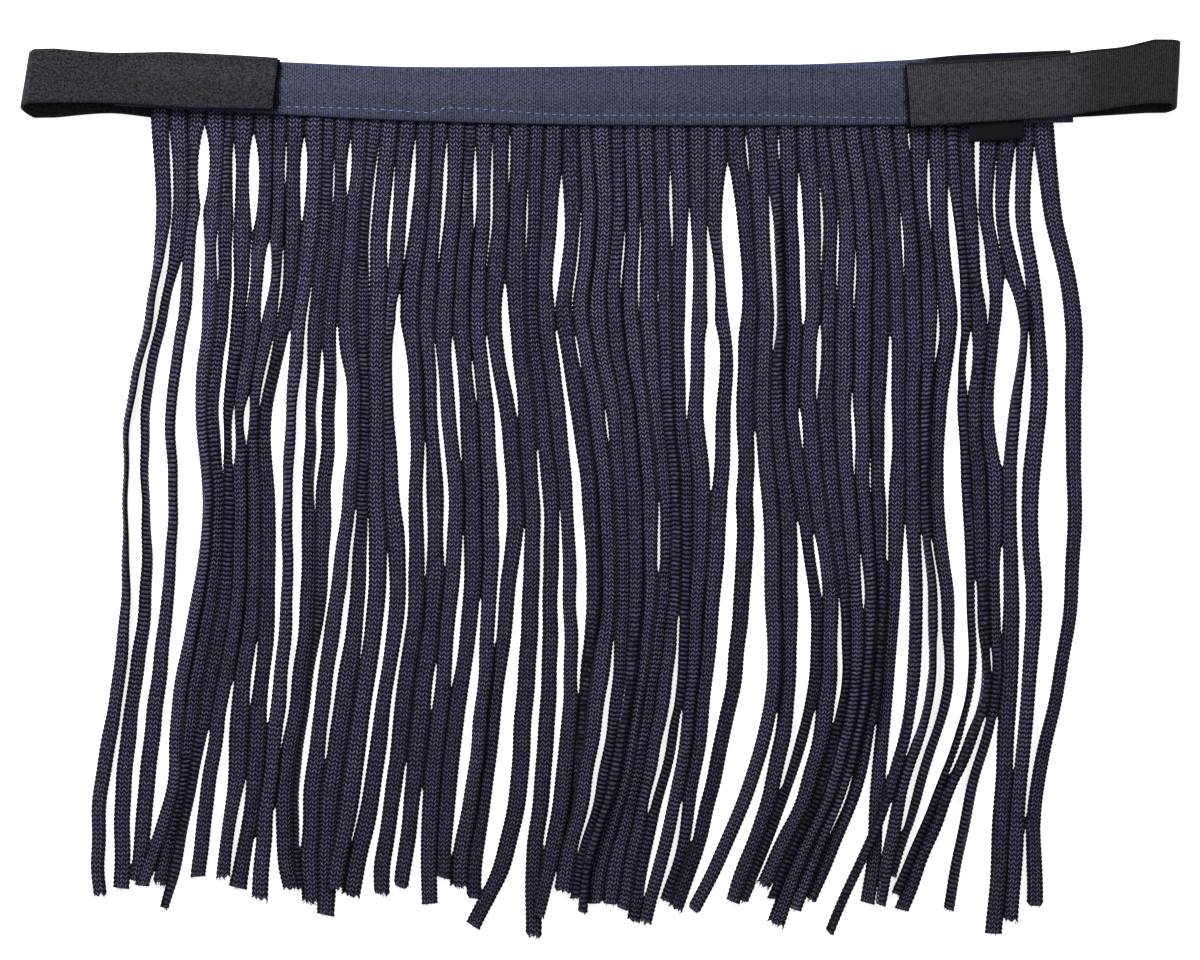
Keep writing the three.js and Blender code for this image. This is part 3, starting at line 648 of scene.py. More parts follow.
def knit_finish(colours):
    """Knitted cord: painted shade in the crevices between the stitches and painted light on the yarn's backs,
    painted highlights on fibres, and painted shade at the edges, on rolled strands and low in the middle.
    """
    shader = Shader("knit", roughness=0.9, sheen=0.03, specular=0.12)
    column, stitch, rolled = shader.marks("knit")
    side = column * (2 / KNIT_COLUMNS) - 1
    turned = shader.math("ABSOLUTE", rolled)
    high = side * shader.math("SIGN", rolled)
    row = shader.smooth(shader.saw(stitch), 0.08, 0.72)
    leg = shader.smooth(shader.saw(column), 0.0, 0.75)
    ladder = shader.smooth(turned, 0.45, 0.9) * 0.7
    seam = 1 - shader.smooth(shader.math("ABSOLUTE", high + 0.38), 0.04, 0.2)
    lines = (1 - (1 - ladder) * (1 - leg) * 0.75) * (1 - ladder * seam * 0.7)
    # Painted shade: the low side of a rolled strand and the edges of every strand are darkened.
    low = (1 - shader.smooth(high, -0.95, -0.15)) * turned
    rim = shader.smooth(shader.math("ABSOLUTE", side), 0.6, 0.92)
    chance = shader.chance(column, stitch)
    every = shader.chance(stitch / STRAND_STITCHES)
    between = 1 - shader.smooth(shader.saw(stitch), 0.25, 0.5)
    gape = ladder * seam * between * shader.smooth(chance, 0.3, 0.31)
    stretched = shader.smooth(shader.noise(22, 1), 0.58, 0.64)
    fibre = shader.noise(1300, 2)
    patch = shader.noise(45, 2)
    height = row * lines
    # Painted shade in the crevices between stitches and rows, and painted light on the yarn's backs, from the
    # stitches' height.
    lit = shader.smooth(height + (fibre - 0.5) * (ladder * 0.9 + 0.85), 0.02, 0.95) ** 1.1
    tone = shader.shades(lit, colours.knit, 0.09, 4.6)
    # Painted highlight: pale glints where fibres catch the light.
    glint = shader.mix(shader.smooth(fibre, 0.52, 0.75) * lit * 0.7, tone, rgba(colours.knit_glint))
    # Random tone by stitch, by strand and in patches, and painted shade that darkens rolled strands.
    dimmed = chance * 0.4 + every * 0.3 + patch * 0.15 + ladder * 0.4
    random_tone_and_roll_shade = shader.mix(dimmed, glint, rgba(colours.knit, 0.2))
    # Painted shade at the strands' edges and on the low side of a rolled strand.
    edged = shader.mix(1 - (1 - rim * 0.97) * (1 - low * 0.85), random_tone_and_roll_shade, rgba(colours.knit, 0.03))
    dotted = shader.mix(gape * stretched, edged, rgba(colours.knit, 16))
    # Painted shade darkens the strands low in the middle of the fringe, where they crowd and overlap.
    right, up, _ = shader.parts(shader.place())
    aside = shader.smooth(shader.math("ABSOLUTE", right - 0.03), 0.09, 0.22)
    low_middle_shade = (1 - shader.smooth(up, -0.17, 0.06)) * (1 - aside * 0.5)
    wear_and_shade = shader.mix(low_middle_shade * 0.26, dotted, rgba(colours.knit, 0.1))
    return shader.done(wear_and_shade, height + fibre * 0.25, 0.0006)


def tape_finish(colours):
    """Twill tape: slanting ribs that turn back on themselves in rows, and faint lines across."""
    shader = Shader("tape", roughness=0.9, sheen=0.02, specular=0.12)
    along, across, below = shader.marks("cloth")
    wander = shader.noise(14, 1) * 2 - 1
    rib = shader.wave(along / TAPE_RIB)
    zigzag = shader.saw(along / ZIGZAG_PITCH) * ZIGZAG_SWING - ZIGZAG_SWING / 2
    height_up = across + wander * 0.5 + zigzag
    rows = [shader.math("ABSOLUTE", height_up - place) for place in ZIGZAG_ROWS]
    off_row = shader.math("MINIMUM", *rows)
    row = 1 - shader.smooth(off_row, 0.9, 1.9)
    nested = shader.wave(off_row / ZIGZAG_NEST)
    line = shader.smooth(shader.saw(along / TAPE_LINE + shader.noise(18, 1) * 0.12), 0.93, 1.0)
    fibre = shader.noise(1050, 2)
    speck = shader.noise(2100, 2)
    height = rib * 0.5 + fibre * 1.0 + speck * 0.6
    lit = shader.smooth(height, 0.65, 1.45)
    tone = shader.shades(lit, colours.tape, 0.09, 1.75)
    dotted = shader.mix(row * nested * (rib * 0.4 + 0.1), tone, rgba(colours.tape, 3.2))
    lined = shader.mix(line * 0.6 + row * (1 - nested) * 0.55, dotted, rgba(colours.tape, 0.05))
    rim = 1 - shader.smooth(across, 0.3, 1.0)
    edged = shader.mix(rim * 0.6, lined, rgba(colours.thread, 0.25))
    top = 1 - shader.smooth(below, 0.4, 1.8)
    blue = shader.mix(top * 0.3, edged, rgba(colours.thread, 0.4))
    patch = shader.mix(shader.noise(60, 3) * 0.35, blue, rgba(colours.tape, 0.4))
    lining = shader.smooth(along, 132, 142) * (1 - shader.smooth(below, 2.6, 3.2))
    lined_end = shader.mix(lining * 0.9, patch, rgba(colours.tape, 0.06))
    return shader.done(lined_end, height, 0.00025)


def brushed_finish(colours):
    """Brushed elastic: short curled fibres that catch the light in specks."""
    shader = Shader("brushed_elastic", roughness=0.95, sheen=0.05, specular=0.1)
    curl = shader.noise(1500, 3, roughness=0.6)
    tuft = shader.noise(900, 2)
    patch = shader.noise(70, 2)
    lit = shader.smooth(curl + (tuft - 0.5) * 0.6, 0.3, 0.72)
    tone = shader.shades(lit, colours.elastic, 0.12, 1.42)
    wear_and_shade = shader.mix(patch * 0.3, tone, rgba(colours.elastic, 0.8))
    return shader.done(wear_and_shade, curl + tuft * 0.8, 0.0006)


def ribbed_finish(colours):
    """Woven elastic: fine ribs across its length, with lighter brushed streaks."""
    shader = Shader("ribbed_elastic", roughness=0.9, sheen=0.05, specular=0.12)
    along, across, below = shader.marks("cloth")
    rib = shader.wave(along / ELASTIC_RIB)
    fibre = shader.noise(1250, 3)
    speck = shader.noise(500, 2)
    streak = shader.noise(1.0, 3, vector=shader.vector(along * 0.16, across * 0.5))
    height = rib * 0.3 + fibre * 1.0 + speck * 0.35
    lit = shader.smooth(height, 0.5, 1.1)
    tone = shader.shades(lit, colours.elastic, 0.1, 1.6)
    wear_and_shade = 1 - shader.smooth(along, 62, 82)
    dark = shader.mix((1 - wear_and_shade) * 0.45, tone, rgba(colours.elastic, 0.25))
    pale = shader.mix(shader.smooth(streak, 0.4, 0.75) * wear_and_shade * 0.25, dark, rgba(colours.elastic, 1.7))
    top = 1 - shader.smooth(below, 0.8, 1.6)
    edged = shader.mix(top * 0.85, pale, rgba(colours.elastic, 0.12))
    return shader.done(edged, height, 0.0003)


def hook_finish(colours):
    """Hook tape: short stiff hooks, nearly black."""
    shader = Shader("hook_pad", roughness=0.8, specular=0.06)
    fibre = shader.noise(1800, 3)
    lit = shader.smooth(fibre, 0.35, 0.7)
    tone = shader.shades(lit, colours.hook, 0.4, 1.6)
    return shader.done(tone, fibre, 0.0005)


def label_finish(colours):
    """Satin tag: very fine ribs and a soft gloss."""
    shader = Shader("label_cloth", roughness=0.65, specular=0.12)
    _, across, _ = shader.marks("cloth")
    rib = shader.wave(across / SATIN_RIB)
    fibre = shader.noise(1600, 3)
    height = rib * 0.5 + fibre * 0.4
    tone = shader.shades(shader.smooth(height, 0.2, 0.8), colours.label, 0.6, 1.5)
    return shader.done(tone, height, 0.00015, 0.42 + fibre * 0.25)


def thread_finish(colours):
    """Sewing thread: a blue ply, lighter and darker along it."""
    shader = Shader("thread", roughness=0.6, specular=0.35)
    ply = shader.noise(2500, 2)
    tone = shader.shades(ply, colours.thread, 0.7, 1.3)
    return shader.done(tone, ply, 0.0001)


def dress(piece, material):
    piece.data.materials.clear()
    piece.data.materials.append(material)


def size_property(name, description, default):
    return bpy.props.FloatProperty(name=name, description=description, default=default, unit="LENGTH")


class FringeSizes(bpy.types.PropertyGroup):
    """Sizes that a user would change."""

    strand_width: size_property("Strand width", "Width of a strand that lies flat", 0.0072)
    strand_thickness: size_property("Strand thickness", "Thickness of a strand", STRAND_THICK / 1000)
    stitch_pitch: size_property("Stitch pitch", "Length of one knitted stitch", 0.00192)
    camera_height: size_property("Camera height", "Height of the camera above the table", 1.6)
    view_width: size_property("View width", "Width of table that the camera sees", 0.504)


def colour_property(name, description, default):
    return bpy.props.FloatVectorProperty(
        name=name, description=description, default=default, subtype="COLOR", min=0.0, max=1.0
    )


class FringeColours(bpy.types.PropertyGroup):
    """Colours of the cloths."""

    knit: colour_property("Knit", "Yarn of the strands", (0.041, 0.0385, 0.073))
    # The knit glint is the colour of painted highlights on the strands.
    knit_glint: colour_property("Knit glint", "Fibres that catch the light", (0.16, 0.152, 0.23))
    tape: colour_property("Tape", "Woven tape of the band", (0.055, 0.057, 0.094))
    thread: colour_property("Thread", "Sewing thread on the band", (0.11, 0.21, 0.5))
    elastic: colour_property("Elastic", "Cloth of both loops", (0.034, 0.032, 0.038))
    hook: colour_property("Hook pad", "Hook pads under the loops", (0.006, 0.006, 0.008))
    label: colour_property("Label", "Satin of the blank label", (0.0055, 0.0055, 0.0075))
    floor: colour_property("Floor", "Table under the part", (0.9, 0.9, 0.9))


def new_mesh(layer_name):
    mesh = bmesh.new()
    return mesh, mesh.verts.layers.float_vector.new(layer_name)


class FRINGE_OT_tapes(bpy.types.Operator):
    """Makes the two woven tapes of the band and the stitches along the front one"""

    bl_idname = "fringe.tapes"
    bl_label = "Add tapes"

    def execute(self, context):
        colours = context.scene.fringe_colours
        finish = tape_finish(colours)
        back = self.tape("tape_back", BACK_TAPE, 0.0, 0, None)
        front = self.tape("tape_front", FRONT_TAPE, FRONT_BASE, 1, self.puckers)
        for piece, node in ((back, "band_back"), (front, "band_front")):
            dress(piece, finish)
            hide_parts(node)
        stitches = self.stitches()
        dress(stitches, thread_finish(colours))
        return {"FINISHED"}

    def tape(self, name, rows, base, falls, relief):
        mesh, layer = new_mesh("cloth")
        places = steps(rows[0][0], rows[-1][0], TAPE_CUTS)
        cuts = [cut_at(rows, x, x, base + lift_at(x), TAPE_THICK, falls=falls) for x in places]
        strip(mesh, layer, cuts, 20, relief)
        return finish_piece(mesh, name)

    def puckers(self, along, across, width):
        """The front tape dips along its seam and at each stitch, and swells a little below it."""
        seam = outline(SEAM, 1, along) - outline(FRONT_TAPE, 1, along)
        line = math.exp(-((across - seam) / 0.9) ** 2)
        beat = 0.6 + 0.4 * math.cos(math.tau * along / STITCH_PITCH)
        low = math.exp(-((across - seam * 0.45) / 1.3) ** 2)
        return -0.22 * line * beat + 0.08 * low + 0.05 * math.sin(along / 6.1) * math.sin(across / 4.0)

    def stitches(self):
        mesh = bmesh.new()
        start, end = SEAM[0][0], SEAM[-1][0]
        for x in steps(start, end, STITCH_PITCH):
            slope = (outline(SEAM, 1, x + 1) - outline(SEAM, 1, x - 1)) / 2
            self.stitch(mesh, x, outline(SEAM, 1, x), 0.1, math.atan(slope), 1.05, 0.26)
        for x in steps(start, end, TOP_STITCH_PITCH):
            y = outline(FRONT_TAPE, 2, x) - TOP_STITCH_INSET
            self.stitch(mesh, x, y, 0.05, 0.0, 0.6, 0.12)
        return finish_piece(mesh, "stitches")

    def stitch(self, mesh, x, y, sunk, turn, half, radius):
        """One stitch, whose middle lies a little under the tape's face."""
        z = FRONT_BASE + lift_at(x) + TAPE_THICK - fall_at(x, y) - sunk
        matrix = Matrix.Translation(placed(x, y, z)) @ Matrix.Rotation(turn, 4, "Z")
        matrix = matrix @ Matrix.Diagonal((half / 1000, radius / 1000, radius / 1000, 1))
        bmesh.ops.create_uvsphere(mesh, u_segments=8, v_segments=5, radius=1, matrix=matrix)


class Strand:
    """One knitted strand: where it lies and how wide it looks from above at any drop."""

    def __init__(self, index, row):
        places = len(PLACE_DROPS) + 1
        self.number = index + 1
        self.length = row[places]
        self.drops = (*PLACE_DROPS, self.length)
        self.places = row[:places]
        self.width_drops = (*WIDTH_DROPS, self.length)
        self.widths = row[places + 1:]
        self.band_edge = outline(FRONT_TAPE, 1, self.places[0])
        self.start = DROP_LEVEL - self.band_edge - ROOT_INSIDE
        self.over = next((lap for lap in LAPS if lap[0] == self.number), None)
        self.lap = next((lap for lap in LAPS if self.number in lap[:2]), None)
        chance = random.Random(self.number)
        self.wander = [
            (chance.uniform(22, 55), chance.uniform(0, 6.3), chance.uniform(0.1, 0.35)) for _ in range(3)
        ]
        self.turn = 1 if chance.random() < 0.55 else -1
        self.knit_way = 1 if chance.random() < 0.6 else -1
        self.tilt = chance.uniform(0.03, 0.12)
        self.tightness = chance.uniform(0.94, 1.06)
        self.ahead = chance.random()
        self.cut = chance.uniform(-0.9, 0.9)

    def middle(self, drop):
        loose = ease(drop, 5, 60)
        waver = sum(size * math.sin(drop / period * math.tau + phase) for period, phase, size in self.wander)
        return through(self.drops, self.places, drop) + waver * loose * 0.6

    def base(self, drop):
        from_band = drop - DROP_LEVEL + self.band_edge
        root = ROOT_BASE + lift_at(self.places[0])
        sunk = through((0, SINK_PART, SINK_ALL), (root, root * SUNK_SHARE, 0), clamp(from_band, 0, SINK_ALL))
        if not self.over:
            return max(sunk, 0)
        rise = ease((drop - self.over[2]) / LAP_RISE + 2, 0, 1)
        return max(sunk, rise * (STRAND_THICK + LAP_GAP))

    def roll_share(self, drop):
        flat = ease((drop - self.lap[2]) / LAP_RISE + 3, 0, 1) if self.lap else 0
        return ROLLED_SHARE * ease(drop, ROLL_FROM, ROLL_TO) * (1 - flat)


def by_strand(slits):
    numbers = range(1, len(STRANDS) + 1)
    return {number: [slit[1:] for slit in slits if slit[0] == number] for number in numbers}


SLITS_BY_STRAND = by_strand(SLITS)
LOWER_BY_STRAND = by_strand(LOWER_SLITS)


def edges_at(strands, drop):
    """The left and right edge of every strand at one drop, moved apart where neighbours would meet."""
    edges = []
    for strand in strands:
        middle = strand.middle(drop)
        half = straight(strand.width_drops, strand.widths, drop) / 2
        edges.append([middle - half, middle + half, drop < strand.length + LAP_RISE])
    for _ in range(GAP_PASSES):
        for reach in range(1, GAP_REACH + 1):
            for i in range(len(edges) - reach):
                a, b = edges[i], edges[i + reach]
                meet = a[1] - b[0]
                if meet <= 0 or not (a[2] and b[2]):
                    continue
                pair = {strands[i].number, strands[i + reach].number}
                laps = [start for over, under, start in LAPS if {over, under} == pair]
                if not laps or drop < laps[0] - LAP_RISE:
                    a[1] -= meet / 2
                    b[0] += meet / 2
    return edges


def open_slits(drops, edges):
    """Strands touch near the band but for its openings. Lower down, those that nearly touch swell until
    they do."""
    for i in range(len(edges[0]) - 1):
        rooms = [row[i + 1][0] - row[i][1] for row in edges]
        for drop, row, room, shut in zip(drops, edges, rooms, shut_stretches(rooms)):
            grow = SWELL * clamp(room / SLIT_SURE)
            if room < -LAP_MEET:
                grow = 0
            elif shut:
                grow = room / 2 + TUCK
            least = slit_width(LOWER_BY_STRAND[i + 1], drop)
            if least > SLIT_SHOWS:
                grow = min(grow, (room - least + SLIT_GLARE) / 2)
            wide = slit_width(SLITS_BY_STRAND[i + 1], drop)
            held = (room - max(0, wide - SLIT_GLARE)) / 2 + (TUCK if wide < SLIT_SHUT else 0)
            grow = lerp(held, grow, ease(drop, SLITS_FROM, SLITS_TO))
            row[i][1] += grow
            row[i + 1][0] -= grow
    for row in edges:
        row[0][0] -= SWELL
        row[-1][1] += SWELL
        for edge in row:
            lack = max(0, STRAND_LEAST - edge[1] + edge[0]) / 2
            edge[0] -= lack
            edge[1] += lack


def shut_stretches(rooms):
    """Whether two strands touch, at each of the drops where the room between them is given."""
    shut = []
    for is_open, stretch in itertools.groupby(rooms, lambda room: room > SLIT_LEAST):
        stretch = list(stretch)
        shut += [not is_open or max(stretch) < SLIT_SURE] * len(stretch)
    return shut


def slit_width(slits, drop):
    """The widest of one strand's slits at a drop."""
    wide = 0
    for start, middle, end, width in slits:
        if drop < middle:
            share = (drop - start) / (middle - start)
        elif end == SLITS_TO:
            share = 1
        else:
            share = (end - drop) / (end - middle)
        wide = max(wide, width * math.sin(clamp(share) * math.pi / 2) ** SLIT_FULLNESS)
    return wide


class FRINGE_OT_strands(bpy.types.Operator):
    """Makes the knitted strands, in groups from left to right, with frayed yarn at their tips"""

    bl_idname = "fringe.strands"
    bl_label = "Add strands"

    def execute(self, context):
        sizes = context.scene.fringe_sizes
        finish = knit_finish(context.scene.fringe_colours)
        strands = [Strand(i, row) for i, row in enumerate(STRANDS)]
        drops = [FIRST_DROP + SAMPLE * i for i in range(SAMPLES)]
        edges = [edges_at(strands, drop) for drop in drops]
        open_slits(drops, edges)
        size = math.ceil(len(strands) / GROUPS)
        for group in range(GROUPS):
            mesh, layer = new_mesh("knit")
            for strand in strands[group * size:(group + 1) * size]:
                column = [row[strand.number - 1] for row in edges]
                self.knit(mesh, layer, strand, drops, column, sizes)
            piece = finish_piece(mesh, f"strands_{group + 1}")
            dress(piece, finish)
            if group == 0:
                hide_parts("fringe")
        return {"FINISHED"}

    def knit(self, mesh, layer, strand, drops, column, sizes):
        full = sizes.strand_width * 1000
        thickness = sizes.strand_thickness * 1000
        pitch = sizes.stitch_pitch * 1000
        middles = [(left + right) / 2 for left, right, _ in column]
        lengths = [0.0]
        for i in range(1, len(drops)):
            lengths.append(lengths[-1] + math.hypot(SAMPLE, middles[i] - middles[i - 1]))
        pitch *= strand.tightness
        begin = straight(drops, lengths, strand.start) - pitch * strand.ahead
        end = straight(drops, lengths, strand.length)
        rings, marks = [], []
        count = round((end - begin) / pitch)
        runs = [begin + pitch * (stitch + phase) for stitch in range(count) for phase, _ in STITCH_PHASES]
        for i, run in enumerate(runs):
            drop = straight(lengths, drops, run)
            middle = straight(drops, middles, drop)
            aside = (straight(drops, middles, drop + 2) - straight(drops, middles, drop - 2)) / 4
            lean = math.atan(aside)
            room = self.room(drops, column, drop)
            width = room + max(0, full - room) * strand.roll_share(drop)
            thick = min(thickness, room)
            flat = clamp((room * room - thick * thick) / max(width * width - thick * thick, 1e-6))
            roll = (math.acos(math.sqrt(flat)) + strand.tilt) * strand.turn
            rolled = ease(full - room, 0.9, 2.6)
            place = (middle, drop, strand.base(drop), lean)
            ring, mark = self.ring(i, strand, place, (room, width, thick, roll, rolled), sizes)
            rings.append(ring)
            marks.append(mark)
        sleeve(mesh, rings, marks, layer)
        self.fray(mesh, layer, strand, rings[-1], middles, drops)

    def room(self, drops, column, drop):
        i = clamp(bisect.bisect_right(drops, drop) - 1, 0, len(drops) - 2)
        share = clamp((drop - drops[i]) / SAMPLE)
        a, b = column[i], column[i + 1]
        return lerp(a[1] - a[0], b[1] - b[0], share)

    def ring(self, i, strand, place, shape, sizes):
        """One ring of a strand's surface. Its silhouette from above fills the room between its edges."""
        middle, drop, base, lean = place
        room, width, thick, roll, rolled = shape
        phase, swell = STITCH_PHASES[i % len(STITCH_PHASES)]
        pitch = sizes.stitch_pitch * 1000
        cos, sin = math.cos(roll), math.sin(roll)
        bare = [across * width / 2 * cos - (height - 0.5) * thick * sin for across, height, _ in KNIT_SECTION]
        fit = room / (max(bare) - min(bare))
        shift = -(max(bare) + min(bare)) / 2
        points = []
        for across, height, slant in KNIT_SECTION:
            u = across * width / 2
            v = (height - 0.5) * thick
            if abs(across) == 1:
                u += across * SCALLOP * swell / STITCH_SWELL
            elif height > 0.5:
                v += swell
            leg = LEG_SLANT * slant
            rung = RUNG_ARCH * (0.6 - abs(across + 0.2 * strand.turn)) + RUNG_SLOPE * across * strand.turn
            ahead = lerp(leg, rung, rolled) * pitch * strand.knit_way
            ahead += strand.cut * across * ease(drop, strand.length - CUT_RUN, strand.length)
            points.append((u * cos - v * sin, u * sin + v * cos, ahead, across))
        low = min(p[1] for p in points)
        ring, mark = [], []
        cos_lean, sin_lean = math.cos(lean), math.sin(lean)
        for u, v, ahead, across in points:
            side = (u + shift) * fit * cos_lean
            x = middle + side * cos_lean + ahead * sin_lean
            y = DROP_LEVEL - drop + side * sin_lean - ahead * cos_lean
            ring.append(placed(x, y, base + v - low + 0.02))
            stitch = i // len(STITCH_PHASES) + phase + strand.number * STRAND_STITCHES
            # The third mark, how far the strand is rolled and which way, tells the knit finish which side to
            # darken with painted shade.
            mark.append(((across + 1) * KNIT_COLUMNS / 2, stitch, lerp(0.3, 1, rolled) * strand.turn))
        return ring, mark

    def fray(self, mesh, layer, strand, tip, middles, drops):
        """Cut ends of yarn that stand out of the tip."""
        chance = random.Random(1000 + strand.number)
        aside = straight(drops, middles, strand.length) - straight(drops, middles, strand.length - 6)
        lean = math.atan(aside / 6)
        centre = sum((Vector(p) for p in tip), Vector()) / len(tip)
        for _ in range(RAGGED.get(strand.number, LOOSE_YARNS)):
            start = centre.lerp(Vector(chance.choice(tip)), chance.uniform(0.3, 0.95))
            start.z = max(start.z, 0.0004)
            length = chance.uniform(0.5, 1.5) / 1000
            turn = lean + chance.gauss(0, 0.3)
            rise = chance.uniform(-0.1, 0.3)
            way = Euler((math.pi / 2 + rise, 0, turn), "XYZ").to_matrix().to_4x4()
            matrix = Matrix.Translation(start) @ way @ Matrix.Translation((0, 0, length * 0.35))
            made = bmesh.ops.create_cone(
                mesh, cap_ends=True, segments=4, radius1=0.00024, radius2=0.00008, depth=length, matrix=matrix
            )
            for vert in made["verts"]:
                vert[layer] = (KNIT_COLUMNS / 2 + 0.5, 0.5, 0.0)
                vert.co.z = max(vert.co.z, 0)


def elastic_cuts(rows):
    """Cuts along an elastic: out over the band, round its fold, and back beneath."""
    side = 1 if rows["fold"][0] > 0 else -1
    top = TAB_BASE + END_LIFT + ELASTIC_THICK
    radius = top / 2
    inner = radius - ELASTIC_THICK
    over, fold, under = rows["over"], rows["fold"], rows["under"]
    cuts = []
    for x in steps(over[0][0], over[-1][0], ELASTIC_CUTS):
        falls = 1 - clamp((abs(x) - LOOP_FROM) / (LOOP_TO - LOOP_FROM))
        along = abs(x - over[0][0])
        base = TAB_BASE + lift_at(x)
        cuts.append(cut_at(over, x, along, base, ELASTIC_THICK, slant=outline(over, 3, x), falls=falls))
    centre = fold[0] - side * radius
    reach = abs(centre - over[-1][0])
    half_turn = math.pi * radius
    for i in range(1, FOLD_CUTS + 1):
        share = i / FOLD_CUTS
        angle = math.pi * (0.5 - share)
        normal = (side * math.cos(angle), math.sin(angle))
        lower, upper, slant = (
            through((0, 0.5, 1), (over[-1][k], fold[k], under[0][k]), share) for k in (1, 2, 3)
        )
        cuts.append({
            "x": centre + normal[0] * inner,
            "lower": lower,
            "upper": upper,
            "slant": slant,
            "base": radius + normal[1] * inner,
            "thick": ELASTIC_THICK,
            "normal": normal,
            "along": along + reach + half_turn * share,
        })
    turned = cuts[-1]["along"]
    for x in steps(under[0][0], under[-1][0], ELASTIC_CUTS)[1:]:
        along = turned + reach + abs(x - under[0][0])
        slant = outline(under, 3, x)
        cuts.append(cut_at(under, x, along, ELASTIC_THICK, ELASTIC_THICK, slant=slant, normal=(0, -1)))
    return cuts


class FRINGE_OT_elastics(bpy.types.Operator):
    """Makes the folded elastic loop at each end of the band"""

    bl_idname = "fringe.elastics"
    bl_label = "Add elastics"

    def execute(self, context):
        colours = context.scene.fringe_colours
        left = self.loop("elastic_loop_left", LEFT_ELASTIC, brushed_finish(colours), "elastic_left")
        right = self.loop("elastic_loop_right", RIGHT_ELASTIC, ribbed_finish(colours), "elastic_right")
        return {"FINISHED"}

    def loop(self, name, rows, finish, node):
        mesh, layer = new_mesh("cloth")
        strip(mesh, layer, elastic_cuts(rows), 18)
        piece = finish_piece(mesh, name)
        dress(piece, finish)
        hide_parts(node)
        return piece


class FRINGE_OT_hook_pads(bpy.types.Operator):
    """Makes the hook pad under the inner end of each elastic"""

    bl_idname = "fringe.hook_pads"
    bl_label = "Add hook pads"

    def execute(self, context):
        finish = hook_finish(context.scene.fringe_colours)
        for rows, name, node, width in (
            (LEFT_ELASTIC, "pad_left", "hook_left", 0.021),
            (RIGHT_ELASTIC, "pad_right", "hook_right", 0.0245),
        ):
            piece = self.pad(rows["over"], name)
            dress(piece, finish)
            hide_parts(node)
        return {"FINISHED"}

    def pad(self, over, name):
        side = 1 if over[0][0] > 0 else -1
        inner = over[0][0] - side * HOOK_SHOWS
        mesh, layer = new_mesh("cloth")
        cuts = []
        for x in steps(inner, inner + side * HOOK_LENGTH, PAD_CUTS):
            slant = over[0][3] * clamp(1 - abs(x - inner) / HOOK_SLANTS)
            base = HOOK_BASE + lift_at(x)
            cuts.append(cut_at(over, x, x, base, HOOK_THICK, HOOK_INSET, slant=slant, falls=1))
        strip(mesh, layer, cuts, 10)
        self.hooks(mesh, over, inner, side)
        return finish_piece(mesh, name)

    def hooks(self, mesh, over, inner, side):
        """Stiff hooks that lean out over the tape along the edge that shows."""
        chance = random.Random(7 if side > 0 else 8)
        lower, upper, slant = over[0][1] + HOOK_INSET, over[0][2] - HOOK_INSET, over[0][3]
        for y in steps(lower + 0.6, upper - 1.2, HOOK_PITCH):
            share = (y - lower) / (upper - lower)
            length = lerp(HOOK_LONGEST, HOOK_SHORTEST, share) + chance.uniform(-0.4, 0.4)
            x = inner + slant * (share - 0.5) + side * 0.3
            z = HOOK_BASE + lift_at(inner) + HOOK_THICK * 0.75 - fall_at(inner, y)
            turn = Euler((0, 0, side * (HOOK_LEAN + chance.uniform(-0.2, 0.2))), "XYZ").to_matrix().to_4x4()
            lean = Euler((0, -side * HOOK_FLAT, 0), "XYZ").to_matrix().to_4x4()
            along = Matrix.Translation((0, 0, length * 0.4 / 1000))
            matrix = Matrix.Translation(placed(x, y, z)) @ turn @ lean @ along
            bmesh.ops.create_cone(
                mesh, cap_ends=True, segments=5, radius1=0.00034, radius2=0.00024, depth=length / 1000,
                matrix=matrix
            )


class FRINGE_OT_label(bpy.types.Operator):
    """Makes the small blank label that hangs out from under the right elastic"""

    bl_idname = "fringe.label"
    bl_label = "Add label"

    def execute(self, context):
        mesh, layer = new_mesh("cloth")
        stops = (LABEL_FREE, LABEL_LEAVES - 1.5, LABEL_LEAVES + 1, LABEL_INSIDE)
        rings, marks = [], []
        for x in steps(LABEL_LEFT, LABEL_RIGHT, LABEL_CUTS):
            rise = LABEL_TILT * (x - LABEL_LEFT) / (LABEL_RIGHT - LABEL_LEFT)
            base = HOOK_BASE + lift_at(x)
            heights = (base - LABEL_DROP, base - 0.5, base, base)
            ring, mark = [], []
            for share, out in strip_loop(12, 12):
                y = lerp(LABEL_FREE, LABEL_INSIDE, share)
                z = through(stops, heights, y) + out * LABEL_THICK
                ring.append(placed(x, y + rise, z))
                mark.append((x - LABEL_LEFT, y - LABEL_FREE, out))
            rings.append(ring)
            marks.append(mark)
        sleeve(mesh, rings, marks, layer)
        piece = finish_piece(mesh, "blank_label")
        dress(piece, label_finish(context.scene.fringe_colours))
        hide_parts("label")
        return {"FINISHED"}


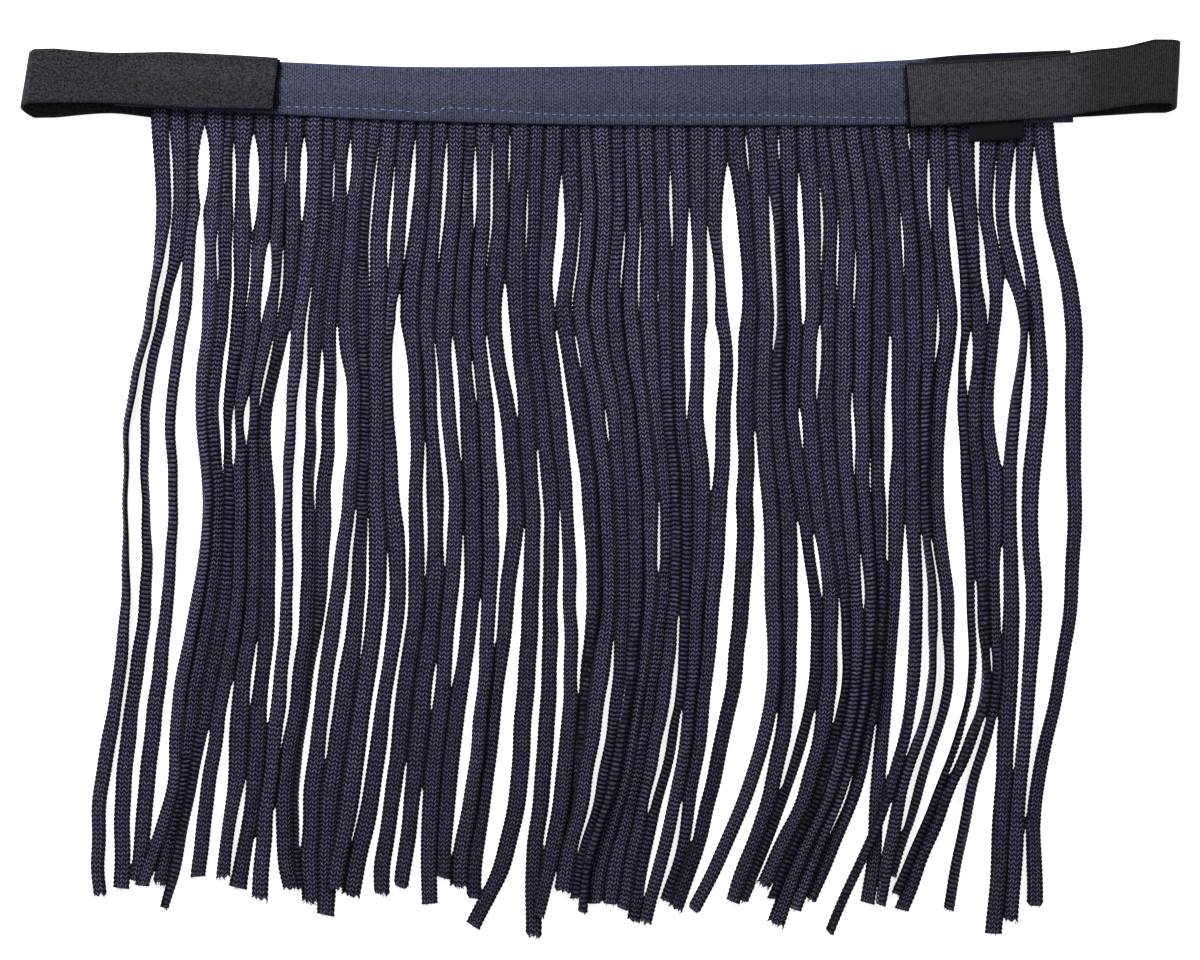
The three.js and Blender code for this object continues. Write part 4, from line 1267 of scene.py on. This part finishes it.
class FRINGE_OT_stage(bpy.types.Operator):
    """Sets up the plain floor, the soft studio light and the camera above"""

    bl_idname = "fringe.stage"
    bl_label = "Add stage"

    def execute(self, context):
        scene = context.scene
        sizes = scene.fringe_sizes
        self.floor(scene)
        world = bpy.data.worlds.new("studio")
        world.use_nodes = True
        background = world.node_tree.nodes["Background"]
        background.inputs["Color"].default_value = (1, 1, 1, 1)
        background.inputs["Strength"].default_value = 0.21
        scene.world = world
        self.lamp("key", (-0.45, 0.85, 0.68), 17.5, 0.5)
        self.lamp("fill", (0.85, 0.6, 1.2), 4.4, 0.9)
        camera = bpy.data.objects.new("camera", bpy.data.cameras.new("camera"))
        camera.data.sensor_width = 36
        camera.data.lens = 36 * sizes.camera_height / sizes.view_width
        camera.data.clip_end = 20
        camera.location = (SHIFT.x / 1000, SHIFT.y / 1000, sizes.camera_height)
        scene.collection.objects.link(camera)
        scene.camera = camera
        scene.view_settings.view_transform = "Standard"
        return {"FINISHED"}

    def floor(self, scene):
        mesh = bmesh.new()
        bmesh.ops.create_grid(mesh, x_segments=1, y_segments=1, size=3)
        floor = made_object(mesh, "floor")
        floor.location.z = -0.0002
        shader = Shader("floor", roughness=0.9, specular=0.1)
        shader.surface.inputs["Base Color"].default_value = rgba(scene.fringe_colours.floor)
        shader.surface.inputs["Emission Color"].default_value = (1, 1, 1, 1)
        shader.surface.inputs["Emission Strength"].default_value = 0.8
        floor.data.materials.append(shader.material)

    def lamp(self, name, place, power, size):
        data = bpy.data.lights.new(name, "AREA")
        data.energy = power
        data.size = size
        lamp = bpy.data.objects.new(name, data)
        lamp.location = place
        aim = Vector((0, 0, 0)) - Vector(place)
        lamp.rotation_euler = aim.to_track_quat("-Z", "Y").to_euler()
        bpy.context.scene.collection.objects.link(lamp)


class FRINGE_PT_panel(bpy.types.Panel):
    """Lists the pieces of the fringe"""

    bl_idname = "FRINGE_PT_panel"
    bl_label = "Fly Fringe"
    bl_space_type = "VIEW_3D"
    bl_region_type = "UI"
    bl_category = "Fly Fringe"

    def draw(self, context):
        layout = self.layout
        for group in (context.scene.fringe_sizes, context.scene.fringe_colours):
            box = layout.box()
            for name in group.__annotations__:
                box.prop(group, name)
        for operator in OPERATORS:
            layout.operator(operator.bl_idname)


OPERATORS = (
    FRINGE_OT_stage,
    FRINGE_OT_tapes,
    FRINGE_OT_strands,
    FRINGE_OT_elastics,
    FRINGE_OT_hook_pads,
    FRINGE_OT_label,
)
CLASSES = (FringeSizes, FringeColours, *OPERATORS, FRINGE_PT_panel)


def register():
    for each in CLASSES:
        bpy.utils.register_class(each)
    bpy.types.Scene.fringe_sizes = bpy.props.PointerProperty(type=FringeSizes)
    bpy.types.Scene.fringe_colours = bpy.props.PointerProperty(type=FringeColours)


def unregister():
    del bpy.types.Scene.fringe_colours
    del bpy.types.Scene.fringe_sizes
    for each in reversed(CLASSES):
        bpy.utils.unregister_class(each)


def main():
    register()
    bpy.ops.fringe.stage()
    bpy.ops.fringe.tapes()
    bpy.ops.fringe.strands()
    bpy.ops.fringe.elastics()
    bpy.ops.fringe.hook_pads()
    bpy.ops.fringe.label()


if __name__ == "__main__":
    main()
